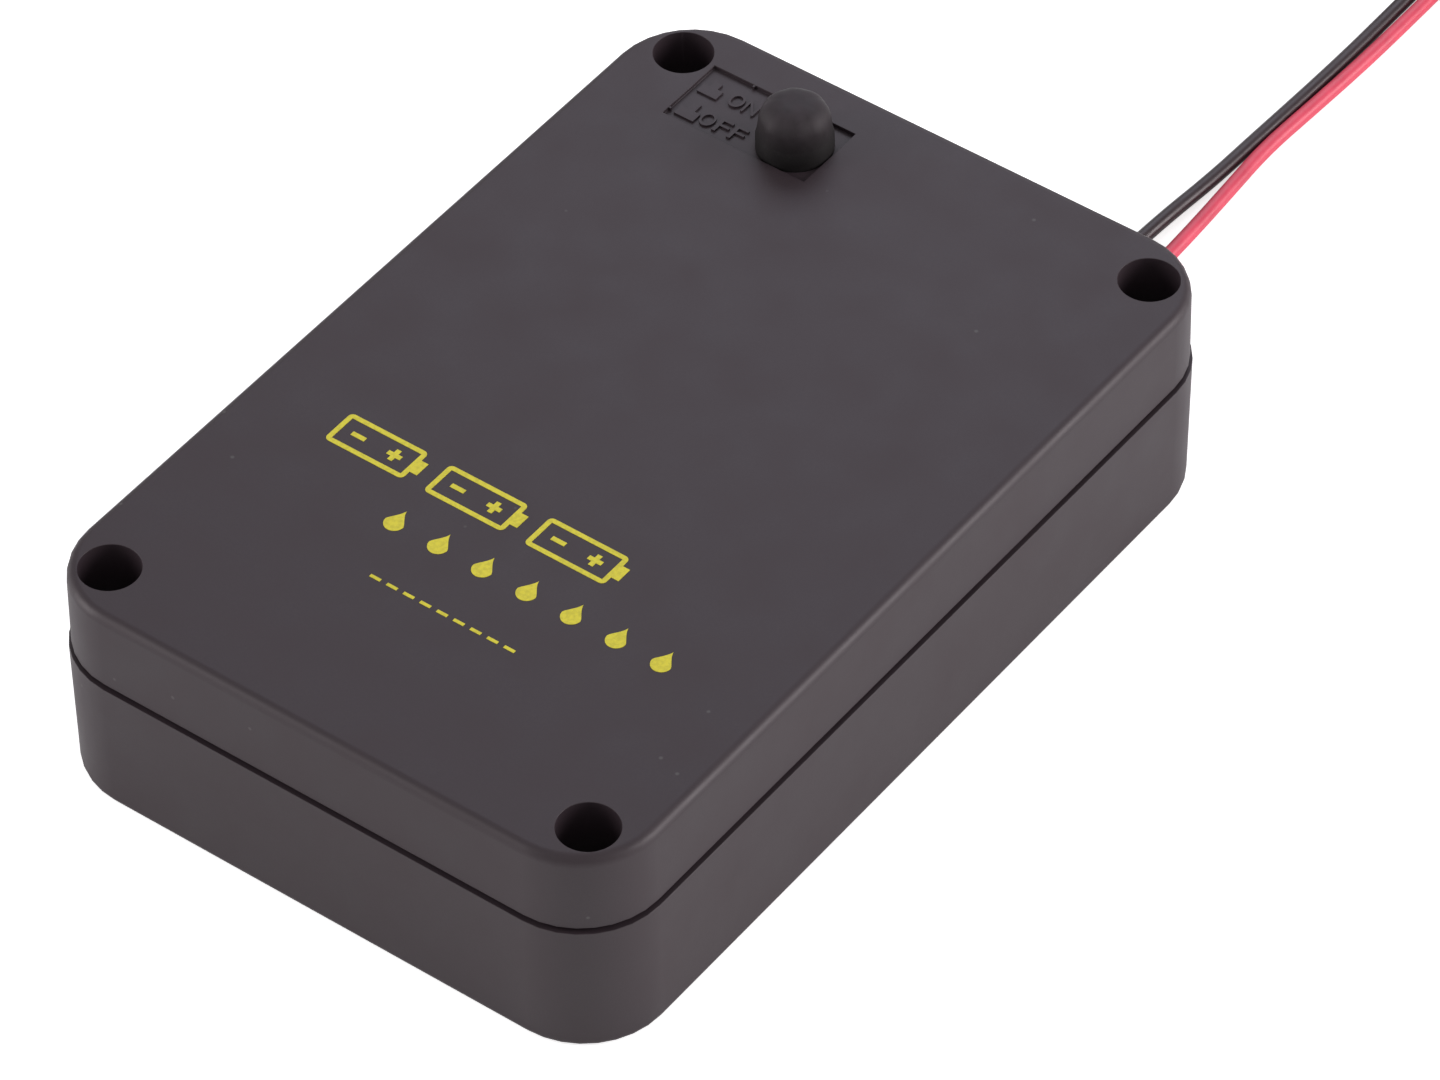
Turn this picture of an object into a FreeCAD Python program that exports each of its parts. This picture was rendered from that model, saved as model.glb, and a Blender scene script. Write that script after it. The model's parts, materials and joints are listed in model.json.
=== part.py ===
import FreeCAD, Part
import math
import os

# Waterproof holder for three AA cells laid side by side, in millimetres.
# +X runs across the cells, +Y along them to the switch and lead end, +Z up.
# The origin is at the middle of the case's underside.

V = FreeCAD.Vector
UP = V(0, 0, 1)

# Case outside. Its width and length follow from what lies side by side and in line inside it
body_height = 23.6
base_height = 14.7
parting_gap = 0.45
corner_radius = 8.5
cover_inset = 0.25
draft_deg = 0.6
top_round = 1.0
bottom_round = 0.8
root_depth = 1.0
cut_margin = 1.0

# Case walls, and the rooms beside and behind the cell bays
wall = 2.7
floor_thickness = 2.0
ceiling_thickness = 2.0
side_room = 4.95
switch_room = 25.6

# Flat sides that stand for a round: a whole circle, a case corner, a boss, the blend beside it, a rounded edge
round_sides = 24
corner_steps = 8
boss_steps = 10
blend_steps = 3
round_steps = 3

# Screws in the four corners, and the bosses around them
screw_from_side = 5.35
screw_from_end = 5.55
boss_radius = 5.75
boss_blend = 1.0
access_diameter = 5.75
screw_ledge = 1.0
seat_radius = 3.4
screw_diameter = 2.9
screw_length = 12.0
head_diameter = 5.3
head_height = 1.6
head_bevel = 0.45
cross_width = 0.9
cross_reach = 1.5
cross_depth = 0.9
thread_clearance = 0.05
shank_clearance = 0.25
pilot_spare = 0.7

# Seal between the halves
groove_inset = 1.55
groove_width = 1.0
groove_depth = 2.5
seal_height = 0.95
tongue_clearance = 0.1
seal_clearance = 0.05

# Cells and their bays
cell_diameter = 14.5
cell_length = 50.5
cell_gap = 0.8
cell_lift = 0.65
cradle_clearance = 0.3
cradle_height = 4.2
cradle_thickness = 1.6
cradle_inset = 13.8
rail_thickness = 1.2
contact_room = 6.7
front_space = 3.2
partition_thickness = 1.4
partition_height = 14.0
hold_down_thickness = 1.2
hold_down_gap = 0.35
hold_down_wrap = 2.5

# Contact plates and springs
plate_thickness = 0.4
plate_narrower = 3.7
plate_above_axis = 5.8
plate_corner = 1.5
strip_height = 5.0
pad_radius = 3.0
pad_height = 0.8
tab_height = 2.3
tab_margin = 0.3
tab_overlap = 1.0
keeper_width = 1.2
keeper_thickness = 0.8
keeper_clearance = 0.05
keeper_overlap = 0.8
inside_clearance = 0.3
spring_wire = 0.7
spring_tip_radius = 2.2
spring_length = 6.4
spring_turns = 3.5
spring_steps = 12
wire_sides = 6

# Switch, its pocket and its button
switch_from_side = 21.15
switch_from_end = 9.5
switch_side = 8.5
switch_corner = 0.4
switch_body_height = 8.2
switch_base_height = 0.8
switch_seat = 5.0
switch_clearance = 0.15
pocket_wall = 1.35
pocket_grip = 4.0
pocket_ledge = 1.0
pin_spacing = 5.0
pin_width = 0.6
pin_depth = 1.0
pin_length = 3.8
stem_side = 3.2
stem_clearance = 0.1
stem_length = 6.5
stem_in_body = 2.0
stem_travel_room = 2.0
cap_radius = 2.35
cap_bevel = 0.9
cap_above_body = 2.5

# Rubber boot, its hole and its retaining ring
panel_width = 16.2
panel_length = 8.05
panel_depth = 0.4
panel_margin = 0.12
boot_radius = 3.7
boot_height = 5.45
boot_rim_height = 0.6
boot_rim_step = 0.1
boot_shoulder_radius = 3.4
boot_straight = 3.3
boot_crown_radius = 0.9
dome_steps = 3
boot_wall = 0.8
boot_neck_radius = 3.4
boot_bore_radius = 2.7
boot_flange_radius = 5.2
boot_flange_thickness = 1.0
boot_cap_clearance = 0.35
socket_wall = 1.2
socket_clearance = 0.2
retainer_thickness = 1.0
retainer_bore_radius = 3.1

# Leads and their grommet
lead_diameter = 1.5
lead_spacing = 3.0
outlet_x = 10.7
outlet_z = 6.5
wire_channel_clearance = 0.2
grommet_neck_wall = 0.9
grommet_lip = 0.8
grommet_lip_thickness = 0.8
grommet_bore_clearance = 0.05
coil_y = 120.0
coil_outer_radius = 9.2
coil_pitch = 1.75
coil_turns = 1.5
coil_overlap = 3.0
coil_sides = 32
tip_diameter = 0.8
tip_length = 5.0
tip_bend = 3.0
floor_clearance = 0.05

# Runs of the wires inside: past the rear partition, before the switch, before the outlet,
# and the red wire's loop across from the switch
wire_run = 4.0
pin_run = 7.5
outlet_run = 11.0
loop_reach = 12.0
loop_side = 5.5
loop_rise = 1.5

# Places worked out from the sizes above
draft = math.tan(math.radians(draft_deg))
cell_pitch = cell_diameter + cell_gap
cradle_radius = cell_diameter / 2 + cradle_clearance
rail_x = cell_pitch + cradle_radius
half_width = rail_x + rail_thickness + side_room + wall
end_thickness = partition_thickness + plate_thickness
half_length = wall + (front_space + 2 * end_thickness + cell_length + contact_room + switch_room) / 2
inner_x = half_width - wall
inner_y = half_length - wall
screw_x = half_width - screw_from_side
screw_y = half_length - screw_from_end
screw_places = [(sx * screw_x, sy * screw_y) for sx in (-1, 1) for sy in (-1, 1)]
cover_bottom = base_height + parting_gap
ceiling_z = body_height - ceiling_thickness
panel_floor_z = body_height - panel_depth
head_seat_z = base_height + screw_ledge
groove_grow = wall - groove_inset
groove_bottom_z = base_height - groove_depth
tongue_bottom_z = groove_bottom_z + seal_height

cell_places = [-cell_pitch, 0.0, cell_pitch]
cell_z = floor_thickness + cell_lift + cell_diameter / 2
plate_width = cell_diameter - plate_narrower
spring_base_radius = plate_width / 2 - keeper_overlap - keeper_clearance - spring_wire / 2
front_partition_y = -inner_y + front_space
front_plate_y = front_partition_y + partition_thickness
bay_front_y = front_plate_y + plate_thickness
bay_rear_y = bay_front_y + cell_length + contact_room
rear_partition_y = bay_rear_y + plate_thickness
rear_partition_end_y = rear_partition_y + partition_thickness
partition_top_z = floor_thickness + partition_height
wire_z = floor_thickness + lead_diameter / 2 + wire_channel_clearance
wire_x = cell_pitch / 2
channel_width = lead_diameter + 4 * wire_channel_clearance
channel_height = lead_diameter + 3 * wire_channel_clearance

switch_x = -half_width + switch_from_side
switch_y = half_length - switch_from_end
switch_seat_z = floor_thickness + switch_seat
switch_body_z = switch_seat_z + switch_base_height
switch_top_z = switch_body_z + switch_body_height
stem_bottom_z = switch_top_z - stem_in_body
stem_top_z = stem_bottom_z + stem_length
cap_bottom_z = switch_top_z + cap_above_body
boot_top_z = panel_floor_z + boot_height
cap_top_z = boot_top_z - boot_wall - boot_cap_clearance
pin_places = [switch_x - pin_spacing / 2, switch_x + pin_spacing / 2]
pin_wire_z = switch_seat_z - pin_length + lead_diameter

lead_radius = lead_diameter / 2
black_x = outlet_x - lead_spacing / 2
red_x = outlet_x + lead_spacing / 2
outlet_wall_y = half_length - draft * (base_height - outlet_z)
outlet_face_y = outlet_wall_y + grommet_lip_thickness
grommet_neck = grommet_bore_clearance + grommet_neck_wall
grommet_outer = grommet_neck + grommet_lip
lying_z = lead_radius + floor_clearance

# The leads' routes, chosen by hand: out of the grommet, down, and along the surface below
black_route = [
    (black_x, outlet_wall_y, outlet_z),
    (black_x, 53.2, outlet_z),
    (9.1, 58.6, 3.0),
    (9.15, 64.2, lying_z),
    (9.4, 70.6, lying_z),
    (10.0, 77.6, lying_z),
    (10.2, 84.4, lying_z),
    (10.5, 92.3, lying_z),
    (10.7, 100.6, lying_z),
    (10.65, 109.2, lying_z),
    (10.6, coil_y - coil_overlap, lying_z),
]
red_route = [
    (red_x, outlet_wall_y, outlet_z),
    (red_x, 53.2, outlet_z),
    (12.6, 58.6, 3.1),
    (12.7, 64.2, lying_z),
    (12.5, 70.6, lying_z),
    (12.1, 77.4, lying_z),
    (11.65, 84.2, lying_z),
    (12.05, 92.1, lying_z),
    (12.4, 100.4, lying_z),
    (12.45, 109.0, lying_z),
    (12.4, coil_y - coil_overlap, lying_z),
]
black_coil_x = black_route[-1][0] - coil_outer_radius
red_coil_x = red_route[-1][0] + coil_outer_radius
coil_inner_radius = coil_outer_radius - coil_pitch * coil_turns

# Wires inside the case
black_inner_route = [
    (wire_x, bay_front_y, wire_z),
    (wire_x, rear_partition_end_y + wire_run, wire_z),
    (black_x, outlet_wall_y - outlet_run, outlet_z),
    (black_x, outlet_wall_y, outlet_z),
]
red_inner_route = [
    (pin_places[1], switch_y - pin_depth / 2, pin_wire_z),
    (pin_places[1], switch_y - pin_run, pin_wire_z),
    (pin_places[1] + loop_side, switch_y - loop_reach, outlet_z + loop_rise),
    (red_x - loop_side, switch_y - loop_reach, outlet_z + loop_rise),
    (red_x, outlet_wall_y - outlet_run, outlet_z),
    (red_x, outlet_wall_y, outlet_z),
]
switch_wire_route = [
    (-wire_x, rear_partition_y, wire_z),
    (-wire_x, rear_partition_end_y + wire_run, wire_z),
    (pin_places[0], switch_y - pin_run, pin_wire_z),
    (pin_places[0], switch_y - pin_depth / 2, pin_wire_z),
]
run_share = 0.45


def block(x0, x1, y0, y1, z0, z1):
    """A block between two corners."""
    return Part.makeBox(x1 - x0, y1 - y0, z1 - z0, V(x0, y0, z0))


def hole(x, y, z0, z1, radius):
    """An upright cylinder for a hole whose rim shows."""
    return Part.makeCylinder(radius, z1 - z0, V(x, y, z0))


def arc_points(centre, radius, start, end, steps):
    """Even points of an arc between two angles, given in radians."""
    angles = [start + (end - start) * step / steps for step in range(steps + 1)]
    return [(centre[0] + radius * math.cos(a), centre[1] + radius * math.sin(a)) for a in angles]


def prism(points, along):
    """A flat outline drawn out along a vector."""
    return Part.Face(Part.makePolygon(points + points[:1])).extrude(along)


def polygon(centre, normal, radius, sides):
    """The corners of a regular outline square to a direction."""
    side = normal.cross(UP) if abs(normal.z) < 0.9 * normal.Length else V(1, 0, 0)
    side.normalize()
    rise = side.cross(normal)
    rise.normalize()
    angles = [2 * math.pi * n / sides for n in range(sides)]
    return [centre + side * (radius * math.cos(a)) + rise * (radius * math.sin(a)) for a in angles]


def drawn_wire(path, radius, sides):
    """A wire of many-sided section drawn along a path."""
    first = path.Edges[0]
    start = first.valueAt(first.FirstParameter)
    corners = polygon(start, first.tangentAt(first.FirstParameter), radius, sides)
    return path.makePipeShell([Part.makePolygon(corners + corners[:1])], True, False)


def faceted(rings):
    """A solid with flat faces from each ring of corners to the next, closed by the first ring and the last."""
    faces = [Part.Face(Part.makePolygon(ring + ring[:1])) for ring in (rings[0], rings[-1])]
    for low, high in zip(rings, rings[1:]):
        for a, b, c, d in zip(low, low[1:] + low[:1], high[1:] + high[:1], high):
            faces.append(Part.Face(Part.makePolygon([a, b, c, d, a])))
    shell = Part.makeShell(faces)
    shell.sewShape()
    solid = Part.makeSolid(shell)
    if solid.Volume < 0:
        solid.reverse()
    return solid


def turned(x, y, profile):
    """A turned piece about an upright axis, from the radii and heights of its profile."""
    return faceted([polygon(V(x, y, z), UP, radius, round_sides) for radius, z in profile])


def rod(x, y, z0, z1, radius):
    """An upright round bar."""
    return turned(x, y, [(radius, z0), (radius, z1)])


def quarter_round(inset, z, radius, toward):
    """Insets and heights of a rounded edge that starts on a side. toward is 1 for an upper edge, -1 for a lower."""
    angles = [math.pi / 2 * step / round_steps for step in range(round_steps + 1)]
    return [(inset + radius * (1 - math.cos(a)), z + toward * radius * math.sin(a)) for a in angles]


def rounded_block(half_x, half_y, radius, levels):
    """A block with round corners whose sides follow the given insets and heights."""
    rings = []
    for inset, z in levels:
        ring = []
        for sx, sy, quarter in ((1, 1, 0), (-1, 1, 1), (-1, -1, 2), (1, -1, 3)):
            centre = (sx * (half_x - radius), sy * (half_y - radius))
            start = quarter * math.pi / 2
            ring += arc_points(centre, radius - inset, start, start + math.pi / 2, corner_steps)
        rings.append([V(x, y, z) for x, y in ring])
    return faceted(rings)


def drafted_base():
    """The outside of the base: sides that lean inwards to a rounded lower edge."""
    lean = draft * (base_height - bottom_round)
    levels = quarter_round(lean, bottom_round, bottom_round, -1)[::-1] + [(0, base_height)]
    return rounded_block(half_width, half_length, corner_radius, levels)


def drafted_cover():
    """The outside of the cover: sides that lean inwards to a rounded upper edge."""
    side_top = body_height - top_round
    levels = [(0, cover_bottom)] + quarter_round(draft * (side_top - cover_bottom), side_top, top_round, 1)
    return rounded_block(half_width - cover_inset, half_length - cover_inset, corner_radius - cover_inset, levels)


def cavity_corner(grow):
    """The points that lead the cavity's outline round the rear right screw boss, from the side to the end."""
    reach = boss_radius + boss_blend
    side_x = inner_x - boss_blend
    end_y = inner_y - boss_blend
    side = (side_x, screw_y - math.sqrt(reach**2 - (side_x - screw_x) ** 2))
    end = (screw_x - math.sqrt(reach**2 - (end_y - screw_y) ** 2), end_y)
    to_side = math.atan2(side[1] - screw_y, side[0] - screw_x)
    to_end = math.atan2(end[1] - screw_y, end[0] - screw_x)
    side_arc = arc_points(side, boss_blend + grow, 0, to_side + math.pi, blend_steps)
    boss_arc = arc_points((screw_x, screw_y), boss_radius - grow, to_side, to_end - 2 * math.pi, boss_steps)
    end_arc = arc_points(end, boss_blend + grow, to_end - math.pi, math.pi / 2, blend_steps)
    return side_arc[:-1] + boss_arc + end_arc[1:]


def cavity_block(grow, z0, z1):
    """The inside of the case, grown outwards: a block whose sides pass inside all four screw bosses."""
    outline = []
    for sx, sy in ((1, 1), (-1, 1), (-1, -1), (1, -1)):
        corner = [V(sx * x, sy * y, z0) for x, y in cavity_corner(grow)]
        outline += corner if sx == sy else corner[::-1]
    return prism(outline, V(0, 0, z1 - z0))


def cavity_band(centre, width, z0, z1):
    """A narrow band of even width that follows the cavity's outline."""
    return cavity_block(centre + width / 2, z0, z1).cut(cavity_block(centre - width / 2, z0, z1))


def cell_row(radius, y0, y1):
    """The three cells' cylinders, used to cut cradles."""
    cells = [Part.makeCylinder(radius, y1 - y0, V(x, y0, cell_z), V(0, 1, 0)) for x in cell_places]
    return cells[0].fuse(cells[1:])


def cradles():
    """Cross ribs whose curved seats carry the cells, with notches for the wire that runs between two cells."""
    top = floor_thickness + cradle_height
    places = [
        bay_front_y + cradle_inset,
        (bay_front_y + bay_rear_y) / 2,
        bay_rear_y - cradle_inset,
    ]
    ribs = [
        block(-rail_x, rail_x, y - cradle_thickness / 2, y + cradle_thickness / 2, floor_thickness, top)
        for y in places
    ]
    cut = [cell_row(cradle_radius, bay_front_y, bay_rear_y)]
    for x in (-wire_x, wire_x):
        cut.append(channel(x, bay_front_y, bay_rear_y))
    return [rib.cut(cut) for rib in ribs]


def channel(x, y0, y1):
    """The room that a wire takes where it passes a rib or a partition."""
    half = channel_width / 2
    return block(x - half, x + half, y0, y1, floor_thickness, floor_thickness + channel_height)


def rails():
    """The two long walls beside the outer cells."""
    outer = rail_x + rail_thickness
    left = block(-outer, -rail_x, front_partition_y, rear_partition_end_y, floor_thickness, cell_z)
    return [left, left.mirror(V(0, 0, 0), V(1, 0, 0))]


def partitions():
    """The cross walls behind the contact plates."""
    reach = rail_x + rail_thickness
    front = block(-reach, reach, front_partition_y, front_plate_y, floor_thickness, partition_top_z)
    rear = block(-reach, reach, rear_partition_y, rear_partition_end_y, floor_thickness, partition_top_z)
    notches = [channel(x, rear_partition_y, rear_partition_end_y) for x in (-wire_x, wire_x)]
    return [front, rear.cut(notches)]


def plate_spans():
    """Each contact plate's name, end of the bay, and first and last cell."""
    return [
        ("front_link_plate", "front", 0, 1),
        ("front_negative_plate", "front", 2, 2),
        ("rear_positive_plate", "rear", 0, 0),
        ("rear_link_plate", "rear", 1, 2),
    ]


def keepers():
    """Small ribs that hold each plate's upright edges against its partition."""
    found = []
    for _, end, first, last in plate_spans():
        edges = (cell_places[first] - plate_width / 2, cell_places[last] + plate_width / 2)
        for x, inward in zip(edges, (1, -1)):
            x0, x1 = sorted((x + inward * keeper_overlap, x - inward * (keeper_width - keeper_overlap)))
            if end == "front":
                y0 = bay_front_y + keeper_clearance
            else:
                y0 = bay_rear_y - keeper_clearance - keeper_thickness
            found.append(block(x0, x1, y0, y0 + keeper_thickness, floor_thickness, partition_top_z))
    return found


def switch_pocket():
    """A square pocket with a ledge that carries the switch, and windows for its two wires."""
    inner = switch_side / 2 + switch_clearance
    outer = inner + pocket_wall
    opening = inner - pocket_ledge
    top = switch_seat_z + pocket_grip
    rear = inner_y + wall / 2
    pocket = block(switch_x - outer, switch_x + outer, switch_y - outer, rear, floor_thickness, top)
    cuts = [
        block(switch_x - inner, switch_x + inner, switch_y - inner, switch_y + inner, switch_seat_z, top),
        block(switch_x - opening, switch_x + opening, switch_y - opening, switch_y + opening,
              floor_thickness, switch_seat_z),
    ]
    half = channel_width / 2
    for x in pin_places:
        cuts.append(block(x - half, x + half, switch_y - outer, switch_y, floor_thickness,
                          pin_wire_z + lead_radius + wire_channel_clearance))
    return pocket.cut(cuts)


def outlet_prism(margin, y0, y1):
    """An oval along Y round both leads."""
    radius = lead_radius + margin
    quarter = math.pi / 2
    outline = arc_points((red_x, outlet_z), radius, -quarter, quarter, corner_steps)
    outline += arc_points((black_x, outlet_z), radius, quarter, 3 * quarter, corner_steps)
    return prism([V(x, y0, z) for x, z in outline], V(0, y1 - y0, 0))


def lower_case():
    """The base: a drafted tub with screw bosses, seal groove, cell bays, switch pocket and lead outlet."""
    cavity = cavity_block(0, floor_thickness, base_height)
    groove = cavity_band(groove_grow, groove_width, groove_bottom_z, base_height)
    shell = drafted_base().cut([cavity, groove])
    bay = cradles() + rails() + partitions() + keepers() + [switch_pocket()]
    low_room = cavity_block(wall / 2, floor_thickness / 2, base_height)
    high_room = cavity_block(-inside_clearance, base_height, partition_top_z)
    room = low_room.fuse(high_room)
    inside = [piece.common(room) for piece in bay]
    case = shell.fuse(inside)
    pilot_z = head_seat_z - screw_length - pilot_spare
    pilots = [
        rod(x, y, pilot_z, base_height, screw_diameter / 2 + thread_clearance) for x, y in screw_places
    ]
    outlet = outlet_prism(grommet_neck, inner_y - cut_margin, half_length + cut_margin)
    groove_again = cavity_band(groove_grow, groove_width, groove_bottom_z, partition_top_z + cut_margin)
    return case.cut(pilots + [outlet, groove_again]).removeSplitter()


def hold_downs():
    """Ribs under the cover's ceiling that keep the cells in their cradles."""
    places = [bay_front_y + cradle_inset, bay_rear_y - cradle_inset]
    low = cell_z + cradle_radius - hold_down_wrap
    clear = cell_row(cell_diameter / 2 + hold_down_gap, bay_front_y, bay_rear_y)
    return [
        block(-rail_x, rail_x, y - hold_down_thickness / 2, y + hold_down_thickness / 2, low, ceiling_z).cut(clear)
        for y in places
    ]


def upper_case():
    """The cover: a drafted lid with its switch panel, screw wells, sealing tongue, hold-down ribs and boot socket."""
    body = drafted_cover().cut(cavity_block(0, cover_bottom, ceiling_z))
    tongue_width = groove_width - 2 * tongue_clearance
    tongue = cavity_band(groove_grow, tongue_width, tongue_bottom_z, cover_bottom + root_depth)
    seats = [rod(x, y, base_height, cover_bottom + root_depth, seat_radius) for x, y in screw_places]
    socket_inner = boot_flange_radius + socket_clearance
    socket_bottom = ceiling_z - boot_flange_thickness - retainer_thickness
    socket = rod(switch_x, switch_y, socket_bottom, ceiling_z, socket_inner + socket_wall)
    socket = socket.common(cavity_block(wall / 2, socket_bottom, ceiling_z))
    body = body.fuse([tongue, socket] + seats + hold_downs())
    cuts = [rod(switch_x, switch_y, socket_bottom, ceiling_z, socket_inner)]
    cuts.append(rod(switch_x, switch_y, ceiling_z, body_height, boot_neck_radius))
    panel_right = switch_x + boot_radius + panel_margin
    panel_front = switch_y - boot_radius - panel_margin
    cuts.append(block(panel_right - panel_width, panel_right, panel_front, panel_front + panel_length,
                      panel_floor_z, body_height + cut_margin))
    for x, y in screw_places:
        cuts.append(hole(x, y, head_seat_z, body_height + cut_margin, access_diameter / 2))
        cuts.append(rod(x, y, base_height - cut_margin, head_seat_z, screw_diameter / 2 + shank_clearance))
    return body.cut(cuts).removeSplitter()


def seal_ring():
    """The soft ring that lies in the groove under the cover's tongue."""
    return cavity_band(groove_grow, groove_width - 2 * seal_clearance, groove_bottom_z, tongue_bottom_z)


def case_screws():
    """Four pan-head screws with cross recesses, their shanks plain."""
    screws = []
    for x, y in screw_places:
        top = head_seat_z + head_height
        screw = turned(x, y, [
            (screw_diameter / 2, head_seat_z - screw_length),
            (screw_diameter / 2, head_seat_z),
            (head_diameter / 2, head_seat_z),
            (head_diameter / 2, top - head_bevel),
            (head_diameter / 2 - head_bevel, top),
        ])
        long_way = (cross_reach, cross_width / 2)
        cross = [
            block(x - a, x + a, y - b, y + b, top - cross_depth, top)
            for a, b in (long_way, long_way[::-1])
        ]
        screws.append(screw.cut(cross).removeSplitter())
    return Part.makeCompound(screws)


def contact_plate(end, first, last):
    """A stamped plate: one upright pad for each cell, joined by a strip where it links two."""
    face_y = front_plate_y if end == "front" else bay_rear_y
    top = cell_z + plate_above_axis
    pads = []
    for n in range(first, last + 1):
        x = cell_places[n]
        pad = block(x - plate_width / 2, x + plate_width / 2, face_y, face_y + plate_thickness, floor_thickness, top)
        upright = [
            e for e in pad.Edges
            if all(abs(v.Z - top) < 1e-6 for v in e.Vertexes) and abs(e.Vertexes[0].Y - e.Vertexes[1].Y) > 1e-6
        ]
        pads.append(pad.makeChamfer(plate_corner, upright))
    if last > first:
        pads.append(block(cell_places[first], cell_places[last], face_y, face_y + plate_thickness,
                          cell_z - strip_height / 2, cell_z + strip_height / 2))
    return pads[0].fuse(pads[1:]) if len(pads) > 1 else pads[0]


def contact_plates():
    """The four plates, each with a raised pad where a cell's positive end meets it."""
    made = {}
    raised = {("front", 1), ("rear", 0), ("rear", 2)}
    for name, end, first, last in plate_spans():
        plate = contact_plate(end, first, last)
        toward = 1 if end == "front" else -1
        face_y = bay_front_y if end == "front" else bay_rear_y
        for n in range(first, last + 1):
            if (end, n) in raised:
                pad = Part.makeCylinder(pad_radius, pad_height, V(cell_places[n], face_y, cell_z), V(0, toward, 0))
                plate = plate.fuse(pad)
        if name in ("front_negative_plate", "rear_positive_plate"):
            side = 1 if cell_places[first] > 0 else -1
            near = side * (wire_x - lead_radius - tab_margin)
            far = cell_places[first] - side * (plate_width / 2 - tab_overlap)
            x0, x1 = sorted((near, far))
            y0 = front_plate_y if end == "front" else bay_rear_y
            plate = plate.fuse(block(x0, x1, y0, y0 + plate_thickness, floor_thickness, floor_thickness + tab_height))
        made[name] = plate.removeSplitter()
    return made


def contact_spring(n, end):
    """A conical spring of flat-sided wire, wide at its plate and narrow at the cell."""
    rise = spring_length - spring_wire
    steps = round(spring_turns * spring_steps)
    stations = []
    for step in range(steps + 1):
        share = step / steps
        angle = 2 * math.pi * spring_turns * share
        radius = spring_tip_radius + (spring_base_radius - spring_tip_radius) * share
        stations.append((V(radius * math.cos(angle), radius * math.sin(angle), rise * share), angle))
    rings = []
    for centre, angle in stations:
        corners = polygon(centre, V(-math.sin(angle), math.cos(angle), 0), spring_wire / 2, wire_sides)
        rings.append(Part.makePolygon(corners + corners[:1]))
    spring = Part.makeLoft(rings, True, True)
    spring.translate(V(0, 0, spring_wire / 2))
    if end == "front":
        spring.rotate(V(0, 0, 0), V(1, 0, 0), 90)
        place = V(cell_places[n], bay_front_y + spring_length, cell_z)
    else:
        spring.rotate(V(0, 0, 0), V(1, 0, 0), -90)
        place = V(cell_places[n], bay_rear_y - spring_length, cell_z)
    spring.translate(place)
    return spring


def switch_body():
    """The switch's housing, open at the top where its stem slides."""
    half = switch_side / 2
    body = block(switch_x - half, switch_x + half, switch_y - half, switch_y + half, switch_body_z, switch_top_z)
    upright = [e for e in body.Edges if abs(e.Vertexes[0].Z - e.Vertexes[1].Z) > 1e-6]
    body = body.makeFillet(switch_corner, upright)
    hole = stem_side / 2 + stem_clearance
    low = stem_bottom_z - stem_travel_room - stem_clearance
    return body.cut(block(switch_x - hole, switch_x + hole, switch_y - hole, switch_y + hole, low, switch_top_z))


def switch_base():
    """The plate that closes the switch from below."""
    half = switch_side / 2
    return block(switch_x - half, switch_x + half, switch_y - half, switch_y + half, switch_seat_z, switch_body_z)


def switch_terminals():
    """The two pins that the wires are soldered to."""
    pins = [
        block(x - pin_width / 2, x + pin_width / 2, switch_y - pin_depth / 2, switch_y + pin_depth / 2,
              switch_seat_z - pin_length, switch_seat_z)
        for x in pin_places
    ]
    return Part.makeCompound(pins)


def switch_plunger():
    """The square stem that moves in the switch."""
    half = stem_side / 2
    return block(switch_x - half, switch_x + half, switch_y - half, switch_y + half, stem_bottom_z, stem_top_z)


def button_cap():
    """The round cap on the stem, which reaches up into the boot."""
    cap = turned(switch_x, switch_y, [
        (cap_radius, cap_bottom_z),
        (cap_radius, cap_top_z - cap_bevel),
        (cap_radius - cap_bevel, cap_top_z),
    ])
    half = stem_side / 2
    return cap.cut(block(switch_x - half, switch_x + half, switch_y - half, switch_y + half, cap_bottom_z, stem_top_z))


def dome_profile(radius, straight_z, top_z, flat):
    """Radii and heights of a soft dome, which narrows in even steps from its side to its flat crown."""
    rise = top_z - straight_z
    angles = [math.pi / 2 * step / dome_steps for step in range(dome_steps + 1)]
    return [(flat + (radius - flat) * math.cos(a), straight_z + rise * math.sin(a)) for a in angles]


def button_boot():
    """The rubber boot: a flange under the cover, a neck through its hole, and a tapered dome on a wider rim."""
    flange_z = ceiling_z - boot_flange_thickness
    straight_z = panel_floor_z + boot_straight
    rim_z = panel_floor_z + boot_rim_height
    outer = dome_profile(boot_shoulder_radius, straight_z, boot_top_z, boot_crown_radius)
    inner = dome_profile(boot_bore_radius, straight_z - boot_wall / 2, boot_top_z - boot_wall, boot_crown_radius)
    foot = [
        (boot_bore_radius, flange_z),
        (boot_flange_radius, flange_z),
        (boot_flange_radius, ceiling_z),
        (boot_neck_radius, ceiling_z),
        (boot_neck_radius, panel_floor_z),
        (boot_radius, panel_floor_z),
        (boot_radius, rim_z),
        (boot_radius - boot_rim_step, rim_z + boot_rim_step),
    ]
    return turned(switch_x, switch_y, inner[::-1] + foot + outer)


def boot_retainer():
    """The ring that clamps the boot's flange in its socket."""
    top = ceiling_z - boot_flange_thickness
    bottom = top - retainer_thickness
    ring = rod(switch_x, switch_y, bottom, top, boot_flange_radius + socket_clearance)
    return ring.cut(rod(switch_x, switch_y, bottom, top, retainer_bore_radius))


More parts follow.
